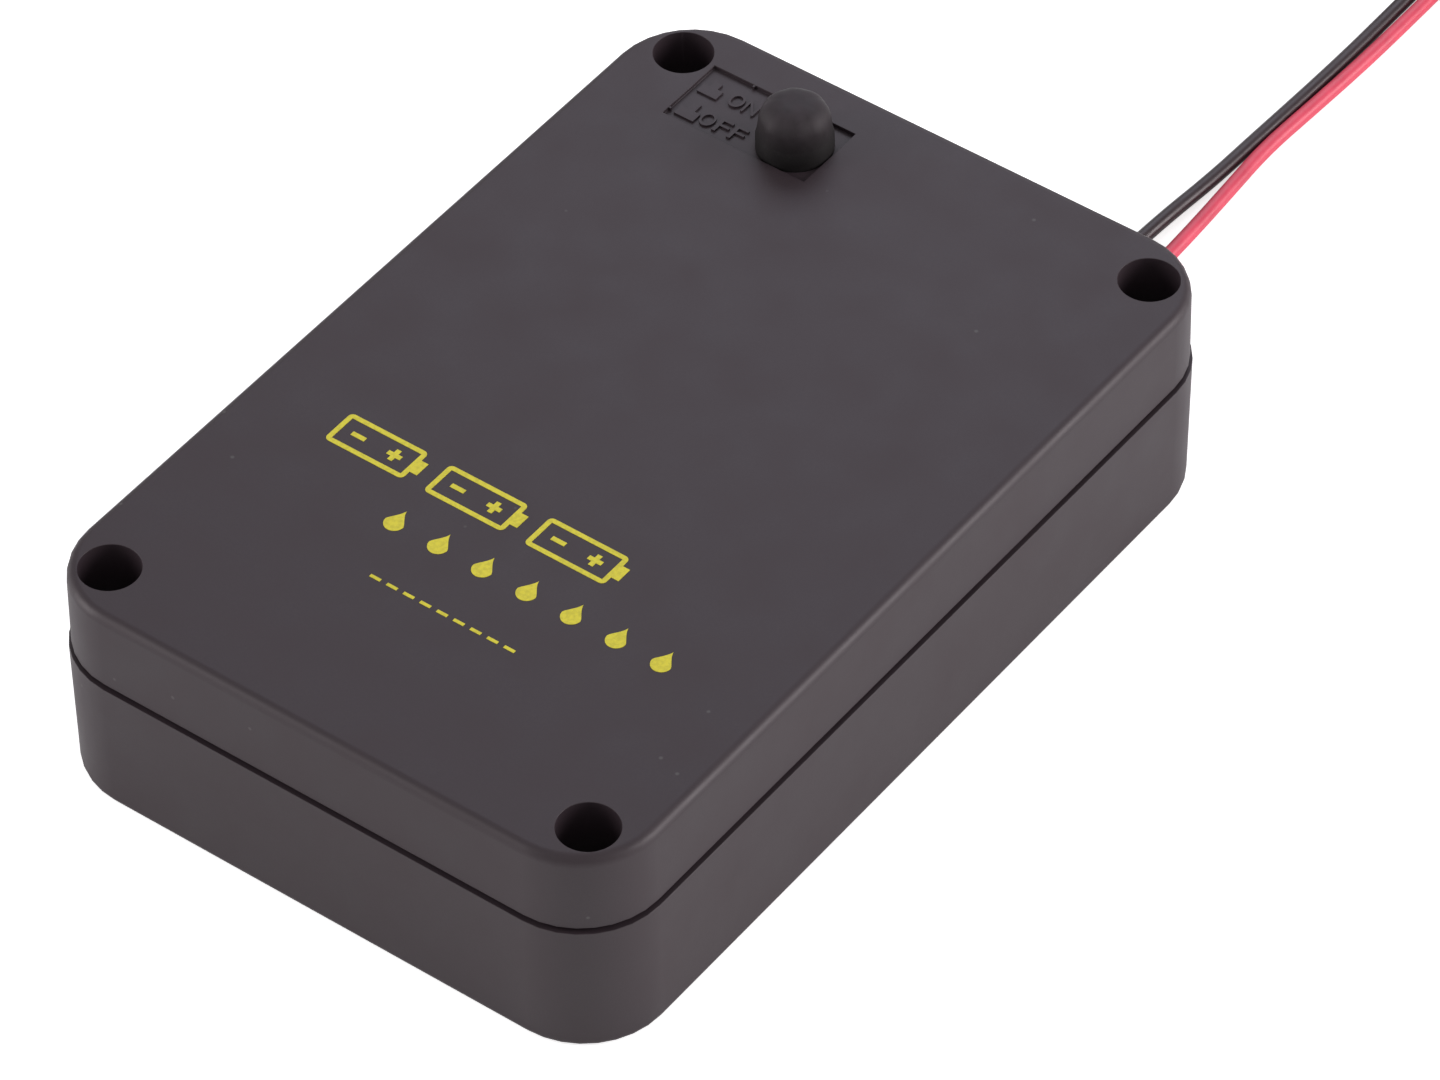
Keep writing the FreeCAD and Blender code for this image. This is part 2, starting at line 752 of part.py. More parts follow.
def lead_grommet():
    """The rubber grommet in the rear wall, with a bore for each lead."""
    inner_face = inner_y - grommet_lip_thickness
    neck = outlet_prism(grommet_neck, inner_y, outlet_face_y)
    lips = [
        outlet_prism(grommet_outer, inner_face, inner_y),
        outlet_prism(grommet_outer, inner_y + wall / 2, outlet_face_y).cut(drafted_base()),
    ]
    bores = [
        Part.makeCylinder(lead_radius + grommet_bore_clearance, outlet_face_y - inner_face + 2 * cut_margin,
                          V(x, inner_face - cut_margin, outlet_z), V(0, 1, 0))
        for x in (black_x, red_x)
    ]
    return neck.fuse(lips).cut(bores).removeSplitter()


def wire_tube(name, points, diameter):
    """A wire along straight runs joined by tangent arcs. It prints its length and tightest bend."""
    points = [V(*p) for p in points]
    edges = []
    radii = []
    here = points[0]
    for before, corner, after in zip(points, points[1:], points[2:]):
        back = before - corner
        ahead = after - corner
        reach = run_share * min(back.Length, ahead.Length)
        back.normalize()
        ahead.normalize()
        half_turn = (math.pi - back.getAngle(ahead)) / 2
        radius = reach / math.tan(half_turn)
        radii.append(radius)
        inward = back + ahead
        inward.normalize()
        middle = corner + inward * (radius / math.cos(half_turn) - radius)
        start = corner + back * reach
        end = corner + ahead * reach
        edges.append(Part.makeLine(here, start))
        edges.append(Part.Arc(start, middle, end).toShape())
        here = end
    edges.append(Part.makeLine(here, points[-1]))
    path = Part.Wire(edges)
    tube = drawn_wire(path, diameter / 2, wire_sides)
    expected = wire_sides / 2 * (diameter / 2) ** 2 * math.sin(2 * math.pi / wire_sides) * path.Length
    print(f"{name}: length {path.Length:.1f}, volume share {tube.Volume / expected:.4f}, "
          f"bend radii {min(radii):.1f} to {max(radii):.1f}")
    return tube


def lead_coil(x):
    """The outer form of a lead's put-away length: a flat ring that lies on the surface below."""
    centre = V(x, coil_y, floor_clearance)
    outer, inner = [
        prism(polygon(centre, UP, radius, coil_sides), V(0, 0, lead_diameter))
        for radius in (coil_outer_radius + lead_radius, coil_inner_radius - lead_radius)
    ]
    return outer.cut(inner)


def lead_tip(coil_x, turn):
    """The tinned bare end, which bends out of the coil's inner side. turn is 1 for a coil wound to the left."""
    angle = 2 * math.pi * coil_turns
    centre_radius = coil_inner_radius - tip_bend
    sweep = tip_length / tip_bend
    points = []
    for share in (0, 0.5, 1):
        a = angle + sweep * share
        points.append(V(
            coil_x + turn * (centre_radius * math.cos(angle) + tip_bend * math.cos(a)),
            coil_y + centre_radius * math.sin(angle) + tip_bend * math.sin(a),
            lying_z,
        ))
    return drawn_wire(Part.Wire([Part.Arc(*points).toShape()]), tip_diameter / 2, wire_sides)


def all_nodes():
    """Every sub-part by name."""
    nodes = {
        "lower_case": lower_case(),
        "upper_case": upper_case(),
        "seal_ring": seal_ring(),
        "case_screws": case_screws(),
        "button_boot": button_boot(),
        "boot_retainer": boot_retainer(),
        "switch_body": switch_body(),
        "switch_base": switch_base(),
        "switch_terminals": switch_terminals(),
        "switch_plunger": switch_plunger(),
        "button_cap": button_cap(),
        "spring_1": contact_spring(0, "front"),
        "spring_2": contact_spring(1, "rear"),
        "spring_3": contact_spring(2, "front"),
        "lead_grommet": lead_grommet(),
        "black_lead_inner": wire_tube("black_lead_inner", black_inner_route, lead_diameter),
        "red_lead_inner": wire_tube("red_lead_inner", red_inner_route, lead_diameter),
        "switch_wire": wire_tube("switch_wire", switch_wire_route, lead_diameter),
        "black_lead": wire_tube("black_lead", black_route, lead_diameter),
        "red_lead": wire_tube("red_lead", red_route, lead_diameter),
        "black_lead_coil": lead_coil(black_coil_x),
        "red_lead_coil": lead_coil(red_coil_x),
        "black_lead_tip": lead_tip(black_coil_x, 1),
        "red_lead_tip": lead_tip(red_coil_x, -1),
    }
    nodes.update(contact_plates())
    return nodes


os.makedirs("parts", exist_ok=True)
for node, shape in all_nodes().items():
    shape.exportStep(f"parts/{node}.step")
    print(f"{node}: {len(shape.Solids)} solid, volume {shape.Volume:.1f}, valid {shape.isValid()}")
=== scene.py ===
import json
import math
import random

import bpy
from mathutils import Matrix, Vector

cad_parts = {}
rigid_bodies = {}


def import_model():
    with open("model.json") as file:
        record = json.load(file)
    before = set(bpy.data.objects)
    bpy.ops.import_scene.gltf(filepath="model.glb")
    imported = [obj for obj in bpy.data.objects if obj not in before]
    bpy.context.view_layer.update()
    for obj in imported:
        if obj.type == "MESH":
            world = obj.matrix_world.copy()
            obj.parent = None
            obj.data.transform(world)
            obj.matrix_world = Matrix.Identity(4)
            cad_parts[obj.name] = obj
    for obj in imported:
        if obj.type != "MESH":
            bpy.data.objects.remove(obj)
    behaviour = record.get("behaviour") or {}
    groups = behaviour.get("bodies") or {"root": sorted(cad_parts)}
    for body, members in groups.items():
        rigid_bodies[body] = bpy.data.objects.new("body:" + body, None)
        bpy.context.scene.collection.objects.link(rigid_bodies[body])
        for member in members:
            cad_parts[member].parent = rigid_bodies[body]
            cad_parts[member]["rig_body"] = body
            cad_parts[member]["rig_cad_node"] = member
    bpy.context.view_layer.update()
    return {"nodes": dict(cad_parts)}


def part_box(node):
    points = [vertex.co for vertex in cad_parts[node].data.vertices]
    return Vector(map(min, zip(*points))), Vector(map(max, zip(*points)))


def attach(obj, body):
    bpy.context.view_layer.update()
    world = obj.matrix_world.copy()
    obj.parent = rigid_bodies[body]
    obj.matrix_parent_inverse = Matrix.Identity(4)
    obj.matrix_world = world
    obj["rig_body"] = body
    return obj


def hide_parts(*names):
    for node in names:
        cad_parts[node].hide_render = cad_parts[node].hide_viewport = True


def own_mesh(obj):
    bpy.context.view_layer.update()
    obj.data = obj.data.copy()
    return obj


bl_info = {
    "name": "Battery holder finish",
    "version": (1, 0, 0),
    "blender": (4, 5, 0),
    "location": "3D View > Sidebar > Battery Holder",
    "description": "Gives a sealed battery holder its surfaces, marks, print, boot, screws and leads",
    "category": "Object",
}

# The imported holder, in metres. +X runs across the cells, +Y towards the leads, +Z up
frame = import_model()
nodes = frame["nodes"]
MM = 0.001
PREFIX = "battery_holder"


def mm(*values):
    """A point written in millimetres, in metres."""
    return Vector(values) * MM


# The cover's top and the switch panel sunk in it
TOP_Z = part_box("upper_case")[1].z
PANEL_DEPTH = 0.4 * MM
PANEL_Z = TOP_Z - PANEL_DEPTH
COVER_WALL = 2.0 * MM
CEILING_Z = TOP_Z - COVER_WALL

# The push button and its rubber boot, whose profiles start at the panel's floor
boot_low, boot_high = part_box("button_boot")
BOOT_X = (boot_low.x + boot_high.x) / 2
BOOT_Y = (boot_low.y + boot_high.y) / 2
BOOT_HEIGHT = boot_high.z - PANEL_Z

# The leads' routes outside the case, as in the part's source, and the coils that they end in
LEAD_RADIUS = 0.75 * MM
LYING_Z = 0.8 * MM
COIL_Y = 120.0 * MM
COIL_OUTER = 9.2 * MM
COIL_PITCH = 1.75 * MM
COIL_TURNS = 1.5
COIL_POINTS = 16
TIP_RADIUS = 0.4 * MM
TIP_BEND = 3.0 * MM
TIP_LENGTH = 5.0 * MM
BLACK_ROUTE = [
    mm(9.2, 47.414, 6.5),
    mm(9.2, 53.2, 6.5),
    mm(9.1, 58.6, 3.0),
    mm(9.15, 64.2, 0.8),
    mm(9.4, 70.6, 0.8),
    mm(10.0, 77.6, 0.8),
    mm(10.2, 84.4, 0.8),
    mm(10.5, 92.3, 0.8),
    mm(10.7, 100.6, 0.8),
    mm(10.65, 109.2, 0.8),
    mm(10.6, 117.0, 0.8),
]
RED_ROUTE = [
    mm(12.2, 47.414, 6.5),
    mm(12.2, 53.2, 6.5),
    mm(12.6, 58.6, 3.1),
    mm(12.7, 64.2, 0.8),
    mm(12.5, 70.6, 0.8),
    mm(12.1, 77.4, 0.8),
    mm(11.65, 84.2, 0.8),
    mm(12.05, 92.1, 0.8),
    mm(12.4, 100.4, 0.8),
    mm(12.45, 109.0, 0.8),
    mm(12.4, 117.0, 0.8),
]

# The wires' routes inside, as in the part's source, with one more point on the long straight run
BLACK_INNER = [
    mm(7.65, -39.8, 2.95),
    mm(7.65, 9.5, 2.95),
    mm(7.65, 23.2, 2.95),
    mm(9.2, 36.414, 6.5),
    mm(9.2, 47.414, 6.5),
]
RED_INNER = [
    mm(-8.05, 37.5, 4.7),
    mm(-8.05, 30.5, 4.7),
    mm(-2.55, 26.0, 8.0),
    mm(6.7, 26.0, 8.0),
    mm(12.2, 36.414, 6.5),
    mm(12.2, 47.414, 6.5),
]
SWITCH_INNER = [
    mm(-7.65, 17.8, 2.95),
    mm(-7.65, 23.2, 2.95),
    mm(-13.05, 30.5, 4.7),
    mm(-13.05, 37.5, 4.7),
]


def colour_setting(name, description, default):
    """A colour that a user can change."""
    return bpy.props.FloatVectorProperty(
        name=name, description=description, default=default, size=3, min=0, max=1, subtype="COLOR")


def length_setting(name, description, default, low, high):
    """A length that a user can change, written in millimetres."""
    return bpy.props.FloatProperty(
        name=name, description=description, default=default * MM, min=low * MM, max=high * MM, unit="LENGTH")


class HolderSettings(bpy.types.PropertyGroup):
    """Sizes and colours that a user would change."""

    case_colour: colour_setting(
        "Case colour", "Moulded plastic of both case halves", (0.031, 0.0212, 0.0262))
    case_roughness: bpy.props.FloatProperty(
        name="Case roughness", description="How matt the moulded plastic is",
        default=0.5, min=0, max=1, subtype="FACTOR")
    case_edge: length_setting(
        "Case edge", "Width of the small round on the case's sharp rims", 0.06, 0, 0.3)
    mark_height: length_setting(
        "Mark height", "How far the switch marks stand above the panel", 0.2, 0.1, 0.4)
    letter_height: length_setting(
        "Letter height", "Height of the words beside the switch", 1.85, 1, 4)
    print_colour: colour_setting(
        "Print colour", "Ink of the pattern on the cover", (0.73, 0.655, 0.022))
    print_thickness: length_setting(
        "Print thickness", "Thickness of the ink on the cover", 0.03, 0.01, 0.1)
    # The boot's rubber colour, which gives way lower down to the painted shade round its foot
    boot_colour: colour_setting(
        "Boot colour", "Rubber over the push button, where a dull bloom covers it", (0.028, 0.0215, 0.0255))
    # Painted shade: the near-black colour that the boot is darkened to round its foot
    boot_foot_shade_colour: colour_setting(
        "Boot foot colour", "Clean rubber round the foot of the boot", (0.006, 0.005, 0.0052))
    black_lead_colour: colour_setting(
        "Black lead colour", "Insulation of the negative lead", (0.03, 0.0175, 0.021))
    red_lead_colour: colour_setting(
        "Red lead colour", "Insulation of the positive lead", (0.73, 0.07, 0.122))
    spring_turns: bpy.props.FloatProperty(
        name="Spring turns", description="Turns of each contact spring",
        default=3.5, min=2, max=5)
    thread_pitch: length_setting(
        "Thread pitch", "Rise of the case screws' thread in one turn", 1.1, 0.5, 2)
    floor_colour: colour_setting(
        "Floor colour", "The pale table", (0.9, 0.9, 0.9))
    world_strength: bpy.props.FloatProperty(
        name="World strength", description="Even light from all round",
        default=0.48, min=0, max=2)


def settings():
    """This scene's sizes and colours."""
    return bpy.context.scene.battery_holder


# Objects and modelling

# Points this close together are one point, in pieces made here and in copies of packed ones
WELD = 0.001 * MM
PACKED_WELD = 0.002 * MM

# Angles in degrees: faces that are flat together, edges that get a round, and edges that stay sharp
FLAT_ANGLE = 0.3
ROUNDED_ANGLE = 40
SHARP_ANGLE = 35
WIRE_SHARP_ANGLE = 50


def deselect():
    """Leaves nothing selected."""
    bpy.ops.object.select_all(action="DESELECT")


def activate(*pieces):
    """Selects only these objects and makes the first one active."""
    deselect()
    for piece in pieces:
        piece.select_set(True)
    bpy.context.view_layer.objects.active = pieces[0]
    return pieces[0]


def named(name):
    """Names the object that was just added, and its data."""
    piece = bpy.context.object
    piece.name = name
    piece.data.name = name
    return piece


def edit(piece, select="SELECT"):
    """Opens a mesh for editing with all of it or none of it selected."""
    activate(piece)
    bpy.ops.object.mode_set(mode="EDIT")
    bpy.ops.mesh.select_mode(type="VERT")
    bpy.ops.mesh.select_all(action=select)


def done(outward=False):
    """Ends the editing of a mesh, and first turns all its faces outward where that is asked."""
    if outward:
        bpy.ops.mesh.select_all(action="SELECT")
        bpy.ops.mesh.normals_make_consistent(inside=False)
    bpy.ops.object.mode_set(mode="OBJECT")


def fix_place(piece):
    """Puts the object's place, turn and scale into its mesh."""
    activate(piece)
    bpy.ops.object.transform_apply(location=True, rotation=True, scale=True)
    return piece


def modify(piece, kind, **values):
    """Adds a modifier with these values and applies it."""
    activate(piece)
    bpy.ops.object.modifier_add(type=kind)
    modifier = piece.modifiers[-1]
    for key, value in values.items():
        setattr(modifier, key, value)
    bpy.ops.object.modifier_apply(modifier=modifier.name)
    return piece


def join(pieces, name):
    """Makes several meshes one object."""
    activate(*pieces)
    if len(pieces) > 1:
        bpy.ops.object.join()
    return named(name)


def as_mesh(piece):
    """Turns a curve or a text into a mesh."""
    activate(piece)
    bpy.ops.object.convert(target="MESH")
    return bpy.context.object


def weld(piece, distance=WELD):
    """Merges the points of a mesh that lie together."""
    edit(piece)
    bpy.ops.mesh.remove_doubles(threshold=distance)
    done()


def shade(piece, angle=30):
    """Smooths all but the sharp edges, and keeps the large flat faces flat."""
    activate(piece)
    bpy.ops.object.shade_smooth_by_angle(angle=math.radians(angle))
    return modify(piece, "WEIGHTED_NORMAL", keep_sharp=True, weight=100)


def finish(piece, material, slot, body, *replaced):
    """Gives a piece its finish and the body that it rides on, and hides what it stands for."""
    piece.data.materials.clear()
    piece.data.materials.append(material)
    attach(piece, body)
    if replaced:
        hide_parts(*replaced)
    return piece


def node_copy(node, name, edge=0.0, most_corners=0):
    """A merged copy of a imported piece, with its flat faces whole and a small round along its sharp edges.

    With most_corners, faces with that many corners or more are cut into triangles before the rounding, which
    fills them wrongly where they turn inwards.
    """
    activate(nodes[node])
    bpy.ops.object.duplicate()
    piece = named(name)
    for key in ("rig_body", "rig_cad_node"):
        del piece[key]
    weld(piece, PACKED_WELD)
    edit(piece)
    bpy.ops.mesh.dissolve_limited(angle_limit=math.radians(FLAT_ANGLE))
    done()
    if most_corners:
        modify(piece, "TRIANGULATE", min_vertices=most_corners)
    if edge:
        modify(piece, "BEVEL", width=edge, segments=2, limit_method="ANGLE",
               angle_limit=math.radians(ROUNDED_ANGLE), use_clamp_overlap=False)
    return shade(piece, SHARP_ANGLE)


def turned(name, profile, segments, closed=False):
    """A round piece made from a ring drawn along a profile of radius and height about the Z axis."""
    radius, height = profile[0]
    deselect()
    bpy.ops.mesh.primitive_circle_add(vertices=segments, radius=radius, location=(0, 0, height))
    piece = named(name)
    fix_place(piece)
    edit(piece)
    for (before, low), (after, high) in zip(profile, profile[1:]):
        bpy.ops.mesh.extrude_region_move(TRANSFORM_OT_translate={"value": (0, 0, high - low)})
        if abs(after - before) > 1e-9:
            share = after / before
            bpy.ops.transform.resize(value=(share, share, 1), center_override=(0, 0, high))
    if closed:
        bpy.ops.mesh.select_all(action="DESELECT")
        bpy.ops.mesh.select_non_manifold(extend=False, use_wire=False, use_boundary=True,
                                         use_multi_face=False, use_non_contiguous=False, use_verts=False)
        bpy.ops.mesh.bridge_edge_loops()
    else:
        bpy.ops.mesh.select_all(action="SELECT")
        bpy.ops.mesh.fill_holes(sides=0)
    done(outward=True)
    return piece


def block(name, low, high, bevel=0.0):
    """A block between two corners, with its edges rounded."""
    low, high = Vector(low), Vector(high)
    deselect()
    bpy.ops.mesh.primitive_cube_add(size=1, location=(low + high) / 2, scale=high - low)
    piece = fix_place(named(name))
    if bevel:
        modify(piece, "BEVEL", width=bevel, segments=2, limit_method="NONE")
    return piece


def round_line(name, points, radius, sides=12, smooth=6):
    """A round wire along a smooth line through the room that its points mark out."""
    curve = bpy.data.curves.new(name, "CURVE")
    curve.dimensions = "3D"
    spline = curve.splines.new("NURBS")
    spline.points.add(len(points) - 1)
    for point, place in zip(spline.points, points):
        point.co = (*place, 1)
    spline.order_u = 3
    spline.use_endpoint_u = True
    curve.resolution_u = smooth
    curve.bevel_depth = radius
    curve.bevel_resolution = sides // 4 - 1
    curve.use_fill_caps = True
    piece = bpy.data.objects.new(name, curve)
    bpy.context.scene.collection.objects.link(piece)
    return piece


def wire(name, points, radius, sides=16, smooth=6):
    """A round wire as a closed mesh."""
    piece = as_mesh(round_line(name, points, radius, sides, smooth))
    piece.data.name = name
    weld(piece)
    activate(piece)
    bpy.ops.object.shade_smooth_by_angle(angle=math.radians(WIRE_SHARP_ANGLE))
    return piece


# Surfaces

# Most values of a noise pattern lie between these
NOISE_LOW = 0.3
NOISE_HIGH = 0.7


def feed(tree, socket, value):
    """Links a socket to another node's output, or sets it to a plain value or a colour."""
    if isinstance(value, bpy.types.NodeSocket):
        tree.links.new(value, socket)
    elif socket.type == "RGBA":
        socket.default_value = (*value, 1)
    else:
        socket.default_value = value


def add_node(tree, kind, inputs=None, **values):
    """A shader node with its settings, and with these inputs linked or set."""
    made = tree.nodes.new("ShaderNode" + kind)
    for key, value in values.items():
        setattr(made, key, value)
    for key, value in (inputs or {}).items():
        feed(tree, made.inputs[key], value)
    return made


def surface(name, colour, roughness, metallic=0.0, specular=0.5):
    """A new material with one shader, whose even values sit on the shader's own sockets."""
    material = bpy.data.materials.new(f"{PREFIX}_{name}")
    material.use_nodes = True
    tree = material.node_tree
    shader = tree.nodes["Principled BSDF"]
    feed(tree, shader.inputs["Base Color"], colour)
    feed(tree, shader.inputs["Roughness"], roughness)
    feed(tree, shader.inputs["Metallic"], metallic)
    feed(tree, shader.inputs["Specular IOR Level"], specular)
    return material, tree, shader


def place_of(tree):
    """Object coordinates, shared by all the patterns of one material."""
    for found in tree.nodes:
        if found.bl_idname == "ShaderNodeTexCoord":
            return found.outputs["Object"]
    return add_node(tree, "TexCoord").outputs["Object"]


def noise(tree, size, detail=3.0, place=None):
    """Soft noise whose patches are about the given size."""
    inputs = {"Vector": place or place_of(tree), "Scale": 1 / size, "Detail": detail}
    return add_node(tree, "TexNoise", inputs).outputs["Fac"]


def spread(tree, value, to_low, to_high, low=NOISE_LOW, high=NOISE_HIGH):
    """Stretches a value from the range between low and high to another range."""
    inputs = {"Value": value, "From Min": low, "From Max": high, "To Min": to_low, "To Max": to_high}
    return add_node(tree, "MapRange", inputs, clamp=True).outputs["Result"]


def calculated(tree, operation, *values):
    """The result of a calculation with these values, which are numbers or outputs."""
    return add_node(tree, "Math", dict(enumerate(values)), operation=operation).outputs["Value"]


def mixed(tree, share, first, second):
    """Two colours mixed by a share. Each is a colour or the output of another mix."""
    return add_node(tree, "Mix", {"Factor": share, 6: first, 7: second}, data_type="RGBA").outputs[2]


def tinted(colour, share, warm=(1.0, 1.0, 1.0)):
    """A colour made lighter or darker, and a little warmer or cooler."""
    return tuple(min(1.0, channel * share * tint) for channel, tint in zip(colour, warm))


def drive(tree, shader, colour, pattern=None, smooth=0.0, rough=0.0):
    """Links an output to a shader's colour, and a pattern to its roughness between two values."""
    feed(tree, shader.inputs["Base Color"], colour)
    if pattern:
        feed(tree, shader.inputs["Roughness"], spread(tree, pattern, smooth, rough))


def mottled(tree, pattern, colour, dark, light, low=NOISE_LOW, high=NOISE_HIGH):
    """A colour that a pattern makes darker and lighter by these shares."""
    return mixed(tree, spread(tree, pattern, 0, 1, low, high), tinted(colour, dark), tinted(colour, light))


def bumps(tree, shader, *layers):
    """Fine relief from several layers, each an output and its depth."""
    normal = None
    for height, depth in layers:
        inputs = {"Height": height, "Strength": 1.0, "Distance": depth}
        if normal:
            inputs["Normal"] = normal
        normal = add_node(tree, "Bump", inputs).outputs["Normal"]
    feed(tree, shader.inputs["Normal"], normal)


def specks(tree, size, share, core=0.05, rim=0.11):
    """A mask of tiny dust grains: few cells of a fine pattern, and only their middles, from core to rim."""
    cells = add_node(tree, "TexVoronoi", {"Vector": place_of(tree), "Scale": 1 / size})
    near = spread(tree, cells.outputs["Distance"], 1, 0, core, rim)
    chosen = add_node(tree, "SeparateColor", {"Color": cells.outputs["Color"]})
    few = calculated(tree, "LESS_THAN", chosen.outputs["Red"], share)
    return calculated(tree, "MULTIPLY", near, few)


def case_surface():
    """Black moulded plastic: a fine matt grain, faint flow patches, and a few grains of dust."""
    colour = tuple(settings().case_colour)
    roughness = settings().case_roughness
    patch_size = 6 * MM
    grain_size = 0.16 * MM
    pit_size = 0.22 * MM
    pit_depth = 0.004 * MM
    wave_size = 9 * MM
    wave_depth = 0.02 * MM
    dust_pitch = 2.2 * MM
    dust_share = 0.07
    dust_colour = (0.075, 0.068, 0.07)
    material, tree, shader = surface("case", colour, roughness)
    patches = noise(tree, patch_size, detail=4.0)
    cool = tinted(colour, share=0.93, warm=(1.0, 0.98, 1.02))
    warm = tinted(colour, share=1.07, warm=(1.03, 0.99, 0.99))
    flow = mixed(tree, spread(tree, patches, 0, 1, low=0.35, high=0.65), cool, warm)
    grain = noise(tree, grain_size, detail=2.0)
    fine = mixed(tree, spread(tree, grain, 0, 1), flow, tinted(colour, share=1.12))
    dusty = mixed(tree, specks(tree, dust_pitch, dust_share), fine, dust_colour)
    drive(tree, shader, dusty, patches, smooth=roughness - 0.03, rough=roughness + 0.04)
    pits = noise(tree, pit_size, detail=2.0)
    waves = noise(tree, wave_size, detail=1.0)
    bumps(tree, shader, (pits, pit_depth), (waves, wave_depth))
    return material


def rubber_surface(name, colour, foot=None):
    """Soft moulded rubber with a dull bloom and tiny pits.

    foot is a darker colour, a painted shade low on the piece, and the two heights between which it gives way
    to the mottled rubber colour.
    """
    roughness = 0.6
    bloom_size = 1.3 * MM
    pit_size = 0.12 * MM
    pit_depth = 0.004 * MM
    wave_size = 0.9 * MM
    wave_depth = 0.02 * MM
    material, tree, shader = surface(name, colour, roughness, specular=0.36)
    bloom = noise(tree, bloom_size)
    shown = mottled(tree, bloom, colour, dark=0.85, light=1.3, low=0.35)
    if foot:
        # Painted shade: the colour darkens towards the foot, fully below the lower height
        dark, low, high = foot
        place = add_node(tree, "SeparateXYZ", {"Vector": place_of(tree)})
        shown = mixed(tree, spread(tree, place.outputs["Z"], 0, 1, low, high), dark, shown)
    drive(tree, shader, shown, bloom, smooth=roughness - 0.06, rough=roughness + 0.08)
    pits = noise(tree, pit_size, detail=2.0)
    waves = noise(tree, wave_size, detail=1.0)
    bumps(tree, shader, (pits, pit_depth), (waves, wave_depth))
    return material


def vinyl_surface(name, colour):
    """Smooth wire insulation, a little uneven along its length."""
    drift_size = 2.4 * MM
    dent_size = 0.5 * MM
    dent_depth = 0.005 * MM
    material, tree, shader = surface(name, colour, roughness=0.36)
    drift = noise(tree, drift_size)
    shown = mottled(tree, drift, colour, dark=0.9, light=1.1)
    drive(tree, shader, shown, drift, smooth=0.32, rough=0.42)
    bumps(tree, shader, (noise(tree, dent_size, detail=2.0), dent_depth))
    return material


def metal_surface(name, colour, roughness):
    """Plated metal: faint dull patches and fine drawing marks along one way."""
    patch_size = 1.5 * MM
    mark_width = 0.14 * MM
    mark_share = 0.06
    mark_depth = 0.0002 * MM
    material, tree, shader = surface(name, colour, roughness, metallic=1.0)
    stretch = add_node(tree, "Mapping", {"Vector": place_of(tree), "Scale": (1, 1, mark_share)})
    marks = noise(tree, mark_width, detail=2.0, place=stretch.outputs["Vector"])
    patches = noise(tree, patch_size, detail=4.0)
    shown = mottled(tree, patches, colour, dark=0.94, light=1.03)
    drive(tree, shader, shown, patches, smooth=roughness - 0.03, rough=roughness + 0.06)
    bumps(tree, shader, (marks, mark_depth))
    return material


def plain_plastic(name, colour, roughness):
    """Small moulded pieces: even colour with a fine grain."""
    grain_size = 0.25 * MM
    grain_depth = 0.004 * MM
    material, tree, shader = surface(name, colour, roughness)
    grain = noise(tree, grain_size)
    drive(tree, shader, mottled(tree, grain, colour, dark=0.92, light=1.08))
    bumps(tree, shader, (grain, grain_depth))
    return material


def ink_surface():
    """Printed ink: slightly thin in places, and a little glossier than the plastic."""
    colour = tuple(settings().print_colour)
    thin_size = 0.35 * MM
    grain_size = 0.2 * MM
    grain_depth = 0.003 * MM
    material, tree, shader = surface("ink", colour, roughness=0.42)
    thin = noise(tree, thin_size, detail=4.0)
    drive(tree, shader, mottled(tree, thin, colour, dark=0.82, light=1, low=0.35, high=0.6))
    bumps(tree, shader, (noise(tree, grain_size), grain_depth))
    return material


